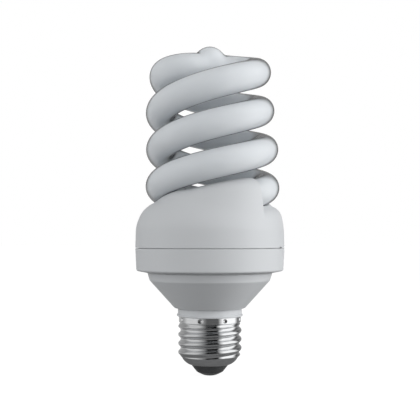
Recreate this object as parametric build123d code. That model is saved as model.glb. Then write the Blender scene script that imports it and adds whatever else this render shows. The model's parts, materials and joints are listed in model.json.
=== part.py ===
from build123d import *
from math import acos, atan2, ceil, cos, hypot, pi, radians, sin, sqrt
import os

# A compact fluorescent light bulb: a glass tube wound as two legs of one spiral, a white
# plastic housing with the ballast circuit inside, and a screw cap of the 27 mm standard size.
# The origin is the lowest point of the centre contact, +Z runs along the axis to the tube's
# tip, and -Y is the side that faces the viewer. Lengths are in millimetres, angles in degrees.

# Clearances between neighbours
FIT = 0.1
RUN = 0.15

# Centre contact and insulator at the foot of the cap
CONTACT_LAND_R = 3.0
CONTACT_R = 5.1
CONTACT_H = 1.6
RIVET_R = 1.3
RIVET_BORE_R = 0.7
RIVET_TOP_Z = 9.0
INSULATOR_FOOT_R = 5.5
INSULATOR_RIM_R = 7.8
INSULATOR_TOP_Z = 8.0

# Screw cap
CAP_FOOT_R = 8.1
CAP_FOOT_Z = 4.55
CAP_KNEE_R = 10.75
CAP_KNEE_Z = 6.25
CAP_WALL = 0.35
THREAD_FOOT_Z = 9.3
THREAD_TOP_Z = 21.7
THREAD_PITCH = 3.629
THREAD_TURNS = 4
THREAD_START_Z = 7.81
THREAD_CREST_R = 13.15
THREAD_DEPTH = 1.0
THREAD_TOE = 0.3
THREAD_LEAD_IN = 1.3
BAND_R = 12.85
BAND_WALL = 0.5
BAND_H = 2.8
PUNCH_COUNT = 8
PUNCH_R = 0.95
PUNCH_DEPTH = 0.4
PUNCH_START = -62.0

# Ballast housing
WALL = 1.6
NECK_FOOT_Z = 10.6
LIP_R = 13.65
LIP_H = 0.8
COLLAR_R = 13.27
COLLAR_H = 3.4
CONE_FOOT_R = 14.35
CONE_TOP_R = 24.6
CONE_H = 11.4
SKIRT_R = 25.7
SKIRT_H = 3.1
SHELF_TUCK = 0.4
SHELF_H = 0.9
BODY_R = 30.8
SEAM_Z = 52.6
SEAM_GAP = 0.25

# Snap joint between the housing and the tube cover
TONGUE_WALL = 1.2
TONGUE_H = 3.4
BEAD_R = 0.45
BEAD_DROP = 2.1
NOTCH_W = 3.2
NOTCH_H = 0.6
NOTCH_DEPTH = 0.5
NOTCH_TURN = -22.6

# Tube cover
COVER_WALL = 1.5
SHOULDER_TUCK = 0.4
SHOULDER_Z = 63.4
SHOULDER_ROUND = 2.5
DECK_R = 24.3
DECK_Z = 71.8
DECK_ROUND = 3.0

# Spiral tube: its two legs are alike, half a turn apart
TUBE_R = 5.92
COIL_R = 22.2
COIL_CLOSING = 2.9
COIL_PITCH = 31.1
COIL_SHIFT = 1.1
LEG_TOP_Z = 124.4
LEG_END_TURN = -640.0
LEG_SIDE_TURN = -540.0
LEG_TUCK = 3.0
LEG_STEP = 20.0
EASE_TURN = -20.0
BRIDGE_TURN = 24.0
BRIDGE_Z = 125.7
BRIDGE_STEPS = 6
LEAN_START_Z = 77.5
LEAN_R = 800.0
TIP_Z = 136.3
TIP_R = 5.6
TIP_SHOULDER_DROP = 3.1
TIP_CROWN_R = 3.2
TIP_CROWN_DROP = 0.85

# Hoods on the cover, one over the end of each leg
MOUTH_TURN = -38.0
HOOD_WALL = 0.75
HOOD_SHELL = 1.2
HOOD_SLOPE = 26.9
HOOD_EASE = 13.0
HOOD_TURNS = (-28.0, -44.0, -60.0, -80.0, -105.0, -135.0, -170.0)
HOOD_FOOT_TUCK = 0.3
HOOD_BASE_Z = 60.0
SLEEVE_WALL = 1.1
SLEEVE_TOP_TURN = -500.0
CEMENT_SWING = 8.0
CEMENT_GAP = 2.0

# Circuit board with its seats, pins and wires
BOARD_PLAY = 0.9
BOARD_Z = 46.0
BOARD_T = 1.6
SEAT_COUNT = 4
SEAT_SWING = 9.0
SEAT_DEPTH = 2.6
PIN_R = 0.35
PIN_TAIL = 0.7
POST_W = 0.9
POST_H = 7.0
POST_R = 24.4
POST_TURNS = (-128.0, -139.0)
LEAD_D = 0.5
LEAD_SPREAD = 1.8
LEAD_RUN = 2.6
LEAD_BEND_R = 0.9
WIRE_D = 1.2
WIRE_BEND_R = 2.0
LIVE_HOLE = (2.0, 7.2)
NEUTRAL_HOLE = (-12.5, -4.5)
NEUTRAL_NECK_R = 8.6

# Circuit parts: place on the board and turn, then sizes
CHOKE_AT = (-9.0, 4.0, 0.0)
CORE_SIZE = (17.0, 5.2, 14.0)
CORE_YOKE = 2.6
CORE_LEG = 4.6
BOBBIN_WALL = 0.7
BOBBIN_FLANGE = (11.4, 13.0)
WINDING_INSET = 0.3
TOROID_AT = (7.0, 0.0, 90.0)
TOROID_R = 4.8
TOROID_BORE_R = 2.5
TOROID_H = 4.4
TOROID_WINDINGS = 3
TOROID_WINDING_SWING = 50.0
ENAMEL_T = 0.45
FILM_SIZE = (13.0, 5.0, 9.5)
FILM_PIN_SPAN = 10.0
RESONANCE_AT = (9.0, 12.0, 0.0)
COUPLING_AT = (19.0, 3.0, 90.0)
TRANSISTOR_PLACES = ((9.0, -12.0, 0.0), (19.0, -10.5, 20.0))
TRANSISTOR_SIZE = (8.0, 3.2, 8.6)
TRANSISTOR_LIFT = 2.6
TRANSISTOR_PITCH = 2.54
TRANSISTOR_HOLE_R = 1.6
DIODE_PLACES = ((-9.0, 15.0, 0.0), (-9.0, 19.0, 0.0), (6.5, 18.0, 0.0), (6.5, 22.0, 0.0))
DIODE_R = 1.35
DIODE_L = 5.2
RESISTOR_PLACES = ((-19.5, -7.5, 90.0), (-16.0, -9.5, 90.0), (1.0, -17.0, 0.0), (1.0, -21.0, 0.0))
RESISTOR_R = 1.15
RESISTOR_L = 6.3
DIAC_AT = (13.5, -18.0, 0.0)
DIAC_R = 0.95
DIAC_L = 4.0
AXIAL_SPAN = 10.0
AXIAL_BEND_R = 0.8
DRUM_AT = (-9.0, -12.0, 0.0)
DRUM_R = 3.5
DRUM_CORE_R = 1.6
DRUM_H = 8.0
DRUM_FLANGE = 1.2
SMOOTHING_AT = (0.0, -6.0)
SMOOTHING_R = 5.0
SMOOTHING_H = 16.0
SMOOTHING_PIN_SPAN = 5.0
FUSE_R = 2.2
FUSE_L = 11.0
FUSE_Z = 13.0
FUSE_LEAD_R = 0.3
FUSE_LEAD_L = 3.0

# Sizes worked out from the ones above
THREAD_ROOT_R = THREAD_CREST_R - THREAD_DEPTH
BAND_Z = THREAD_TOP_Z + BAND_WALL
BAND_TOP_Z = THREAD_TOP_Z + BAND_H
PUNCH_Z = BAND_TOP_Z - BAND_H / 2 + BAND_WALL / 2
COLLAR_Z = BAND_TOP_Z + FIT
CONE_Z = COLLAR_Z + COLLAR_H
CONE_TOP_Z = CONE_Z + CONE_H
SHELF_Z = CONE_TOP_Z + SKIRT_H
SHELF_TOP_Z = SHELF_Z + SHELF_H
BODY_INNER_R = BODY_R - WALL
SHELF_R = BODY_R - SHELF_TUCK
SHOULDER_R = BODY_R - SHOULDER_TUCK
HOOD_FOOT_R = SHOULDER_R - HOOD_FOOT_TUCK
BOARD_R = BODY_INNER_R - BOARD_PLAY
COVER_Z = SEAM_Z + SEAM_GAP
TONGUE_R = BODY_INNER_R - FIT
BOARD_TOP_Z = BOARD_Z + BOARD_T
BRIDGE_R = COIL_R - COIL_CLOSING
CHANNEL_R = TUBE_R + RUN
HOOD_R = CHANNEL_R + HOOD_WALL
LEG_RISE = COIL_PITCH / 360
HOOD_TOP_Z = LEG_TOP_Z + LEG_RISE * (LEG_SIDE_TURN + MOUTH_TURN) + HOOD_R
PIN_L = BOARD_T + PIN_TAIL
CEMENT_FOOT_TURN = LEG_END_TURN - CEMENT_SWING - CEMENT_GAP
COIL_AXIS = Pos(COIL_SHIFT, 0, 0)
HALF_TURN = Rot(0, 0, 180)
UPRIGHT = (Align.CENTER, Align.CENTER, Align.MIN)


def turned(*corners, rounds=()):
    """Solid turned about the axis from a closed outline of (radius, height) corners."""
    face = make_face(Polyline(*corners, close=True))
    for corner, radius in rounds:
        vertex = face.vertices().sort_by_distance((*corner, 0))[0]
        face = fillet(vertex, radius)
    return revolve(Plane.XZ * face, Axis.Z)


def post(radius, low, high, x=0.0, y=0.0):
    """Upright cylinder between two heights."""
    return Pos(x, y, low) * Cylinder(radius, high - low, align=UPRIGHT)


def swept(path, radius, bore=0.0):
    """Round bar or tube along a path."""
    section = Circle(radius) - Circle(bore) if bore else Circle(radius)
    return sweep(Plane(path @ 0, z_dir=path % 0) * section, path)


def around(count, piece):
    """Copies of a piece, evenly spaced about the axis."""
    return [Rot(0, 0, 360 * step / count) * piece for step in range(count)]


# Spiral tube


def leaned(x, y, z):
    """A point after the coil's slight bend to one side above its foot."""
    swing = max(z - LEAN_START_Z, 0) / LEAN_R
    return ((x + LEAN_R) * cos(swing) - LEAN_R, y, min(z, LEAN_START_Z) + (x + LEAN_R) * sin(swing))


def leg_radius(turn):
    """Radius of a leg, which closes in towards the top and tucks in under its hood."""
    closing = COIL_CLOSING * 2 ** (min(turn, 0) / 180)
    tuck = (LEG_SIDE_TURN - turn) / (LEG_SIDE_TURN - LEG_END_TURN)
    return COIL_R - closing - LEG_TUCK * min(max(tuck, 0), 1) ** 1.5


def top_height(run):
    """Height of a leg that levels out into the bridge, at a length past where that starts."""
    start = LEG_TOP_Z + LEG_RISE * EASE_TURN
    whole = BRIDGE_R * (radians(BRIDGE_TURN - EASE_TURN) + pi / 2)
    share = run / whole
    climb = COIL_PITCH / (2 * pi * BRIDGE_R) * whole
    ease = share**2 * (3 - 2 * share)
    return start + (BRIDGE_Z - start) * ease + climb * share * (1 - share) ** 2


def leg_height(turn):
    """Height of a leg at a turn, 0 being where it passes its own side at the top."""
    if turn > EASE_TURN:
        return top_height(BRIDGE_R * radians(turn - EASE_TURN))
    return LEG_TOP_Z + LEG_RISE * turn


def leg_point(turn, side=1):
    """Point on the centre line of a leg; side is 1 or -1."""
    reach = side * leg_radius(turn)
    return leaned(reach * cos(radians(turn)), reach * sin(radians(turn)), leg_height(turn))


def bridge_point(step, side=1):
    """Point on the half circle from the top of a leg to the axis."""
    swing = pi * step / BRIDGE_STEPS
    start = radians(BRIDGE_TURN)
    reach = side * BRIDGE_R / 2
    run = BRIDGE_R * radians(BRIDGE_TURN - EASE_TURN) + BRIDGE_R / 2 * swing
    x = reach * (cos(start) + cos(start + swing))
    y = reach * (sin(start) + sin(start + swing))
    return leaned(x, y, top_height(run))


def leg_points(first, last, side=1):
    """Evenly spaced points of a leg from one turn to another."""
    count = ceil((last - first) / LEG_STEP)
    return [leg_point(first + (last - first) * step / count, side) for step in range(count + 1)]


def half_line(side):
    """Points of one leg and its half of the bridge, up to the axis."""
    bridge = [bridge_point(step, side) for step in range(1, BRIDGE_STEPS + 1)]
    return leg_points(LEG_END_TURN, BRIDGE_TURN, side) + bridge


def tube_tip():
    """Rounded tip where the tube was pumped and sealed, on the middle of the bridge."""
    shoulder_z = TIP_Z - TIP_SHOULDER_DROP
    crown = (TIP_CROWN_R, TIP_Z - TIP_CROWN_DROP)
    dome = Spline((TIP_R, shoulder_z), crown, (0, TIP_Z), tangents=((-0.5, 1), (-1, 0)))
    sides = Polyline((0, TIP_Z), (0, BRIDGE_Z), (TIP_R, BRIDGE_Z), (TIP_R, shoulder_z))
    return revolve(Plane.XZ * make_face(dome + sides), Axis.Z)


def spiral_tube():
    """Sealed glass discharge tube: two legs, the bridge that joins them, and the tip."""
    line = Spline(half_line(1) + half_line(-1)[-2::-1]).edge()
    halves = [swept(line.trim(*part), TUBE_R) for part in ((0, 0.5), (0.5, 1))]
    middle = line @ 0.5
    faces = [face for half in halves for face in half.faces() if (face.center() - middle).length > FIT]
    return COIL_AXIS * (Solid(Shell(faces)) + Pos(middle.X, 0, 0) * tube_tip())


def sleeve_line():
    """Centre line of the channel that the front leg's end sits in, and of the cement below it."""
    return Spline(leg_points(CEMENT_FOOT_TURN, SLEEVE_TOP_TURN, -1)).edge()


# Tube cover


def hood_face(turn, shrink=0.0):
    """Section of a hood: an arch over the leg, with a flank down to the cover's shoulder."""
    back = max(MOUTH_TURN - turn, 0)
    crown_z = HOOD_TOP_Z - HOOD_SLOPE / 360 * back**2 / (back + HOOD_EASE) - shrink
    arch_r = HOOD_R - shrink
    centre_r = leg_radius(LEG_SIDE_TURN + turn)
    centre_z = crown_z - arch_r
    foot_r = HOOD_FOOT_R - shrink
    foot_z = SHOULDER_Z - shrink
    reach = hypot(foot_r - centre_r, foot_z - centre_z)
    touch = atan2(foot_z - centre_z, foot_r - centre_r) + acos(arch_r / reach)

    def on_arch(angle):
        return (centre_r + arch_r * cos(angle), centre_z + arch_r * sin(angle))

    arch = ThreePointArc(on_arch(touch), on_arch((touch + pi) / 2), on_arch(pi))
    inner_r = centre_r - arch_r
    sides = Polyline(
        on_arch(pi), (inner_r, HOOD_BASE_Z), (foot_r, HOOD_BASE_Z), (foot_r, foot_z), on_arch(touch)
    )
    return Rot(0, 0, turn) * (Plane.XZ * make_face(arch + sides))


def hood(shrink=0.0):
    """Ramp that rises around the cover and ends in a mouth square to the leg that enters it."""
    ramp = loft([hood_face(turn, shrink) for turn in HOOD_TURNS])
    mouth = Vector(leg_point(LEG_SIDE_TURN + MOUTH_TURN, -1))
    outward = (Vector(leg_point(LEG_SIDE_TURN + MOUTH_TURN + 1, -1)) - mouth).normalized()
    beyond = Plane(mouth - outward * shrink, z_dir=outward) * Box(
        2 * BODY_R, 2 * BODY_R, BODY_R, align=UPRIGHT
    )
    return ramp - beyond


def both_legs(piece):
    """A piece at the front hood and its copy at the rear one, about the coil's axis."""
    return [COIL_AXIS * piece, COIL_AXIS * HALF_TURN * piece]


def cover_dome(inset=0.0):
    """Turned form of the cover, inset for its hollow."""
    shoulder = (SHOULDER_R - inset, SHOULDER_Z - inset * 0.45)
    deck = (DECK_R - inset * 0.45, DECK_Z - inset)
    foot_z = COVER_Z - inset
    return turned(
        (0, foot_z), (BODY_R - inset, foot_z), shoulder, deck, (0, deck[1]),
        rounds=((shoulder, SHOULDER_ROUND), (deck, DECK_ROUND)),
    )


def snap_tongue():
    """Ring that slips inside the housing's rim, with a bead that snaps into its groove."""
    root_r = SHOULDER_R - FIT
    inner_r = TONGUE_R - TONGUE_WALL
    foot_z = SEAM_Z - TONGUE_H
    ring = turned(
        (inner_r, foot_z), (TONGUE_R, foot_z), (TONGUE_R, COVER_Z), (root_r, COVER_Z),
        (root_r, COVER_Z + TONGUE_H), (inner_r, COVER_Z + TONGUE_WALL),
    )
    return ring + Pos(0, 0, SEAM_Z - BEAD_DROP) * Torus(TONGUE_R, BEAD_R)


def board_stops():
    """Ribs inside the tongue that keep the circuit board down on its seats."""
    outer_r = TONGUE_R - TONGUE_WALL / 2
    inner_r = TONGUE_R - SEAT_DEPTH
    low = BOARD_TOP_Z + FIT
    rib = Polyline((inner_r, low), (outer_r, low), (outer_r, COVER_Z), (inner_r, COVER_Z), close=True)
    return around(SEAT_COUNT, wedge(rib))


def wedge(section):
    """Short turned piece from an upright outline, centred on the +X side."""
    face = Rot(0, 0, -SEAT_SWING / 2) * (Plane.XZ * make_face(section))
    return revolve(face, Axis.Z, revolution_arc=SEAT_SWING)


def release_notches():
    """Two slots in the seam where a blade opens the case."""
    slot = Pos(BODY_R, 0, COVER_Z) * Box(2 * NOTCH_DEPTH, NOTCH_W, 2 * (NOTCH_H - SEAM_GAP))
    notch = Rot(0, 0, NOTCH_TURN) * slot
    return [notch, HALF_TURN * notch]


def tube_cover():
    """Upper half of the case: deck, two hoods, a sleeve for each leg, and the snap tongue."""
    outside = cover_dome() + both_legs(hood())
    inside = cover_dome(COVER_WALL) + both_legs(hood(HOOD_SHELL))
    sleeve = swept(sleeve_line(), CHANNEL_R + SLEEVE_WALL)
    channel = swept(sleeve_line(), CHANNEL_R)
    sleeves = [outside & piece for piece in both_legs(sleeve)]
    cover = outside - inside + sleeves + snap_tongue() + board_stops()
    return cover - both_legs(channel) - release_notches()


def tube_cement():
    """Ring of white cement beyond the sealed end of a leg, open for its two leads."""
    share = CEMENT_SWING / (SLEEVE_TOP_TURN - CEMENT_FOOT_TURN)
    return swept(sleeve_line().trim(0, share), CHANNEL_R - FIT / 2, LEAD_SPREAD)


# Ballast housing


def housing_outline():
    """Outer corners of the housing from the neck's foot up to the seam."""
    neck_r = THREAD_ROOT_R - CAP_WALL - FIT
    band_r = BAND_R - BAND_WALL - FIT
    return [
        (neck_r, NECK_FOOT_Z), (neck_r, BAND_Z + FIT), (band_r, BAND_Z + BAND_WALL + FIT),
        (band_r, COLLAR_Z), (LIP_R, COLLAR_Z), (LIP_R, COLLAR_Z + LIP_H),
        (COLLAR_R, COLLAR_Z + LIP_H + FIT), (COLLAR_R, CONE_Z - FIT), (CONE_FOOT_R, CONE_Z),
        (CONE_TOP_R, CONE_TOP_Z), (SKIRT_R, SHELF_Z), (SHELF_R, SHELF_TOP_Z), (BODY_R, SEAM_Z),
    ]


def housing_hollow():
    """Inner corners of the housing, a wall inside the outer ones."""
    neck_r = THREAD_ROOT_R - CAP_WALL - FIT - WALL
    slant = hypot(CONE_TOP_R - CONE_FOOT_R, CONE_H)
    drop = WALL * slant / CONE_H
    foot_z = CONE_Z + (neck_r + drop - CONE_FOOT_R) * CONE_H / (CONE_TOP_R - CONE_FOOT_R)
    skirt_r = CONE_TOP_R - drop + WALL / 2
    return [
        (BODY_INNER_R, SEAM_Z), (BODY_INNER_R, SHELF_TOP_Z + WALL), (SKIRT_R, SHELF_Z + WALL),
        (skirt_r, SHELF_Z + WALL), (CONE_TOP_R - drop, CONE_TOP_Z), (neck_r, foot_z), (neck_r, NECK_FOOT_Z),
    ]


def board_seats():
    """Pads on the shelf that carry the circuit board."""
    low = SHELF_Z + WALL / 2
    outer_r = BODY_INNER_R + WALL / 2
    inner_r = BODY_INNER_R - SEAT_DEPTH
    pad = Polyline((inner_r, low), (outer_r, low), (outer_r, BOARD_Z), (inner_r, BOARD_Z), close=True)
    return around(SEAT_COUNT, wedge(pad))


def ballast_housing():
    """Lower half of the case, from the neck inside the cap to the seam."""
    rounds = (
        ((LIP_R, COLLAR_Z), 0.25), ((LIP_R, COLLAR_Z + LIP_H), 0.25), ((CONE_FOOT_R, CONE_Z), 0.3),
        ((CONE_TOP_R, CONE_TOP_Z), 1.5), ((SKIRT_R, SHELF_Z), 0.5), ((SHELF_R, SHELF_TOP_Z), 0.9),
    )
    shell = turned(*housing_outline(), *housing_hollow(), rounds=rounds)
    groove = Pos(0, 0, SEAM_Z - BEAD_DROP) * Torus(TONGUE_R, BEAD_R + FIT)
    return shell + board_seats() - groove - punches(BAND_WALL + FIT)


# Screw cap


def curl_face(inset=0.0):
    """Half section inside the cap's curled foot, inset for the metal or for what fits in it."""
    end_r = THREAD_ROOT_R - inset
    foot = (CAP_FOOT_R, CAP_FOOT_Z + inset)
    knee = (CAP_KNEE_R - inset * 0.7, CAP_KNEE_Z + inset * 0.7)
    arc = ThreePointArc(foot, knee, (end_r, THREAD_FOOT_Z))
    sides = Polyline((end_r, THREAD_FOOT_Z), (0, THREAD_FOOT_Z), (0, foot[1]), foot)
    return Plane.XZ * make_face(arc + sides)


def thread_ridge():
    """Rolled round thread: crest and root are equal arcs that meet halfway up."""
    half = THREAD_PITCH / 2
    arc_r = (half**2 + THREAD_DEPTH**2) / (4 * THREAD_DEPTH)

    def on_root_arc(height):
        return (THREAD_ROOT_R + arc_r - sqrt(arc_r**2 - (half - abs(height)) ** 2), height)

    toe = half - THREAD_TOE
    slope = (toe + half / 2) / 2
    low, high = on_root_arc(-half / 2), on_root_arc(half / 2)
    sunk_r = THREAD_ROOT_R - CAP_WALL / 2
    outline = (
        ThreePointArc(on_root_arc(-toe), on_root_arc(-slope), low)
        + ThreePointArc(low, (THREAD_CREST_R, 0), high)
        + ThreePointArc(high, on_root_arc(slope), on_root_arc(toe))
        + Polyline(on_root_arc(toe), (sunk_r, toe), (sunk_r, -toe), on_root_arc(-toe))
    )
    path = Helix(THREAD_PITCH, THREAD_PITCH * THREAD_TURNS, THREAD_ROOT_R)
    ridge = sweep(Plane.XZ * make_face(outline), path, is_frenet=True)
    return Pos(0, 0, THREAD_START_Z) * ridge


def punches(growth=0.0):
    """Balls that dent the cap's band all round, grown for the metal behind the dents."""
    ball_r = (PUNCH_R**2 + PUNCH_DEPTH**2) / (2 * PUNCH_DEPTH)
    ball = Pos(BAND_R + ball_r - PUNCH_DEPTH, 0, PUNCH_Z) * Sphere(ball_r + growth)
    return around(PUNCH_COUNT, Rot(0, 0, PUNCH_START) * ball)


def screw_shell():
    """Thin nickel-plated cap: curled foot, rolled thread and a punched band."""
    inner_r = THREAD_ROOT_R - CAP_WALL
    band_inner_r = BAND_R - BAND_WALL
    crest_r = THREAD_CREST_R + FIT
    outside = revolve(curl_face(), Axis.Z) + turned(
        (0, THREAD_FOOT_Z), (THREAD_ROOT_R, THREAD_FOOT_Z), (THREAD_ROOT_R, THREAD_TOP_Z),
        (BAND_R, BAND_Z), (BAND_R, BAND_TOP_Z), (0, BAND_TOP_Z),
    )
    inside = revolve(curl_face(CAP_WALL), Axis.Z) + turned(
        (0, THREAD_FOOT_Z), (inner_r, THREAD_FOOT_Z), (inner_r, BAND_Z),
        (band_inner_r, BAND_Z + BAND_WALL), (band_inner_r, BAND_TOP_Z), (0, BAND_TOP_Z),
    )
    thread_room = turned(
        (0, THREAD_FOOT_Z - THREAD_LEAD_IN), (THREAD_ROOT_R, THREAD_FOOT_Z - THREAD_LEAD_IN),
        (crest_r, THREAD_FOOT_Z), (crest_r, THREAD_TOP_Z - THREAD_LEAD_IN),
        (THREAD_ROOT_R, BAND_Z), (0, BAND_Z),
    )
    backs = [outside & ball for ball in punches(BAND_WALL)]
    metal = outside + (thread_ridge() & thread_room) - inside + backs
    return metal - punches() - post(CAP_FOOT_R - FIT, 0, THREAD_FOOT_Z)


def cap_insulator():
    """Black glass that fills the cap's foot and holds the centre contact."""
    plug = revolve(curl_face(CAP_WALL + FIT), Axis.Z) & post(THREAD_ROOT_R, 0, INSULATOR_TOP_Z)
    cone = turned(
        (0, CONTACT_H), (INSULATOR_FOOT_R, CONTACT_H), (INSULATOR_RIM_R, CAP_FOOT_Z),
        (INSULATOR_RIM_R, CAP_FOOT_Z + 2 * CAP_WALL), (0, CAP_FOOT_Z + 2 * CAP_WALL),
    )
    return cone + plug - post(RIVET_R + FIT, 0, INSULATOR_TOP_Z)


def centre_contact():
    """Domed contact with the hollow rivet that carries it."""
    dome = ThreePointArc(
        (CONTACT_LAND_R, 0), ((CONTACT_LAND_R + CONTACT_R) / 2, CONTACT_H / 4), (CONTACT_R, CONTACT_H)
    )
    sides = Polyline((CONTACT_R, CONTACT_H), (0, CONTACT_H), (0, 0), (CONTACT_LAND_R, 0))
    disc = revolve(Plane.XZ * make_face(dome + sides), Axis.Z)
    head = turned(
        (0, INSULATOR_TOP_Z), (2 * RIVET_R, INSULATOR_TOP_Z), (RIVET_R, RIVET_TOP_Z), (0, RIVET_TOP_Z)
    )
    rivet = post(RIVET_R, CONTACT_H, RIVET_TOP_Z)
    return disc + rivet + head - post(RIVET_BORE_R, CONTACT_H, RIVET_TOP_Z)


# Circuit board and what stands on it


def placed(place):
    """Position on top of the board for a part's place and turn."""
    x, y, turn = place
    return Pos(x, y, BOARD_TOP_Z) * Rot(0, 0, turn)


def pins(*spots, top=0.0):
    """Round pins through the board at spots of a part's own frame, up to a height above it."""
    return [post(PIN_R, -PIN_L, top, x, y) for x, y in spots]


def row_spots(count, pitch):
    """Spots in a row about the middle of a part."""
    return [((step - (count - 1) / 2) * pitch, 0) for step in range(count)]


def bobbin_spots():
    """Four pins at the corners of the choke's lower flange, clear of the core."""
    x = BOBBIN_FLANGE[0] / 2 - 2 * PIN_R
    y = BOBBIN_FLANGE[1] / 2 - 2 * PIN_R
    return [(side, end) for side in (-x, x) for end in (-y, y)]


def on_board(place, spots):
    """Spots of a part's own frame as points on the board."""
    return [(placed(place) * Pos(x, y, 0)).position for x, y in spots]


def post_spots():
    """Where the four posts for the tube's leads stand: two beyond the end of each leg."""
    front = [Vector(POST_R, 0).rotate(Axis.Z, turn) for turn in POST_TURNS]
    return front + [spot.rotate(Axis.Z, 180) for spot in front]


def board_holes():
    """Every hole in the board, each with its radius."""
    two = row_spots(2, AXIAL_SPAN)
    axial = [*DIODE_PLACES, *RESISTOR_PLACES, DIAC_AT]
    films = [RESONANCE_AT, COUPLING_AT]
    pin_spots = [spot for place in axial for spot in on_board(place, two)]
    pin_spots += [spot for place in films for spot in on_board(place, row_spots(2, FILM_PIN_SPAN))]
    for place in TRANSISTOR_PLACES:
        pin_spots += on_board(place, row_spots(3, TRANSISTOR_PITCH))
    pin_spots += on_board(CHOKE_AT, bobbin_spots()) + on_board(DRUM_AT, row_spots(2, DRUM_R))
    pin_spots += on_board((*SMOOTHING_AT, 0), row_spots(2, SMOOTHING_PIN_SPAN))
    wire_spots = [Vector(*LIVE_HOLE), Vector(*NEUTRAL_HOLE)]
    posts = [(spot, POST_W * sqrt(0.5) + FIT / 2) for spot in post_spots()]
    return (
        [(spot, PIN_R + FIT) for spot in pin_spots]
        + [(spot, WIRE_D / 2 + FIT) for spot in wire_spots]
        + posts
    )


def circuit_board():
    """Round board, drilled for everything that it carries."""
    disc = post(BOARD_R, BOARD_Z, BOARD_TOP_Z)
    return disc - [post(radius, BOARD_Z, BOARD_TOP_Z, at.X, at.Y) for at, radius in board_holes()]


def lead_posts():
    """Square posts that the tube's leads are wound on."""
    square = Box(POST_W, POST_W, PIN_L + POST_H, align=UPRIGHT)
    return [Pos(spot.X, spot.Y, BOARD_Z - PIN_TAIL) * square for spot in post_spots()]


def choke_core():
    """Ferrite core: two yokes, two outer legs and the middle leg inside the coil."""
    width, depth, height = CORE_SIZE
    side = (width - CORE_LEG) / 2 - CORE_YOKE
    window = Box(side, depth, height - 2 * CORE_YOKE, align=UPRIGHT)
    offset = CORE_LEG / 2 + side / 2
    core = Box(width, depth, height, align=UPRIGHT)
    core -= [Pos(x, 0, CORE_YOKE) * window for x in (-offset, offset)]
    return placed(CHOKE_AT) * core


def bobbin_barrel(growth):
    """Upright box around the core's middle leg, as wide as a growth on every side."""
    height = CORE_SIZE[2] - 2 * (CORE_YOKE + FIT)
    return Pos(0, 0, CORE_YOKE + FIT) * Box(
        CORE_LEG + 2 * growth, CORE_SIZE[1] + 2 * growth, height, align=UPRIGHT
    )


def choke_bobbin():
    """Moulded bobbin with two flanges and the choke's four pins."""
    flange = Box(*BOBBIN_FLANGE, BOBBIN_WALL, align=UPRIGHT)
    low = CORE_YOKE + FIT
    high = CORE_SIZE[2] - low - BOBBIN_WALL
    body = bobbin_barrel(FIT + BOBBIN_WALL) + [Pos(0, 0, z) * flange for z in (low, high)]
    bobbin = body - bobbin_barrel(FIT) + pins(*bobbin_spots(), top=low + BOBBIN_WALL / 2)
    return placed(CHOKE_AT) * bobbin


def choke_winding():
    """Copper winding between the bobbin's flanges."""
    low = CORE_YOKE + 2 * FIT + BOBBIN_WALL
    height = CORE_SIZE[2] - 2 * low
    inner = FIT + BOBBIN_WALL + FIT / 2
    outer = Rectangle(*(size - 2 * WINDING_INSET for size in BOBBIN_FLANGE))
    outer = fillet(outer.vertices(), CORE_YOKE)
    inner = Rectangle(CORE_LEG + 2 * inner, CORE_SIZE[1] + 2 * inner)
    return placed(CHOKE_AT) * Pos(0, 0, low) * extrude(outer - inner, height)


def drive_toroid():
    """Ferrite ring of the drive transformer."""
    low, high = ENAMEL_T + FIT, ENAMEL_T + FIT + TOROID_H
    ring = turned((TOROID_BORE_R, low), (TOROID_R, low), (TOROID_R, high), (TOROID_BORE_R, high))
    return placed(TOROID_AT) * ring


def toroid_windings():
    """Three short windings around the ring's section."""
    width = TOROID_R - TOROID_BORE_R + 2 * FIT
    height = TOROID_H + 2 * FIT
    section = Rectangle(width + 2 * ENAMEL_T, height + 2 * ENAMEL_T) - Rectangle(width, height)
    middle = Pos((TOROID_R + TOROID_BORE_R) / 2, height / 2 + ENAMEL_T, 0)
    coil = revolve(Plane.XZ * (middle * section), Axis.Z, revolution_arc=TOROID_WINDING_SWING)
    return [placed(TOROID_AT) * piece for piece in around(TOROID_WINDINGS, coil)]


def film_capacitor(place):
    """Box-shaped film capacitor with rounded corners and two pins."""
    box = Box(*FILM_SIZE, align=UPRIGHT)
    body = fillet(box.edges().filter_by(Axis.Z), FILM_SIZE[1] / 4)
    return placed(place) * (body + pins(*row_spots(2, FILM_PIN_SPAN), top=FIT))


def transistor(place):
    """Flat power transistor with a screw hole and three legs."""
    width, depth, height = TRANSISTOR_SIZE
    body = Pos(0, 0, TRANSISTOR_LIFT) * Box(width, depth, height, align=UPRIGHT)
    hole_z = TRANSISTOR_LIFT + height - 2 * TRANSISTOR_HOLE_R
    hole = Pos(0, 0, hole_z) * Rot(90, 0, 0) * Cylinder(TRANSISTOR_HOLE_R, depth)
    legs = pins(*row_spots(3, TRANSISTOR_PITCH), top=TRANSISTOR_LIFT + FIT)
    return placed(place) * (body - hole + legs)


def axial_part(place, radius, length):
    """Small round part that lies on the board with a bent lead at each end."""
    half = AXIAL_SPAN / 2
    corners = [(-half, 0, -PIN_L), (-half, 0, radius), (half, 0, radius), (half, 0, -PIN_L)]
    lead = swept(FilletPolyline(*corners, radius=AXIAL_BEND_R), PIN_R)
    body = Pos(0, 0, radius) * Rot(0, 90, 0) * Cylinder(radius, length)
    return placed(place) * (lead + fillet(body.edges().filter_by(GeomType.CIRCLE), radius / 4))


def drum_core():
    """Ferrite spool of the mains filter choke, with its two pins."""
    high = DRUM_H - DRUM_FLANGE
    spool = turned(
        (0, 0), (DRUM_R, 0), (DRUM_R, DRUM_FLANGE), (DRUM_CORE_R, DRUM_FLANGE),
        (DRUM_CORE_R, high), (DRUM_R, high), (DRUM_R, DRUM_H), (0, DRUM_H),
    )
    return placed(DRUM_AT) * (spool + pins(*row_spots(2, DRUM_R), top=FIT))


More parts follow.
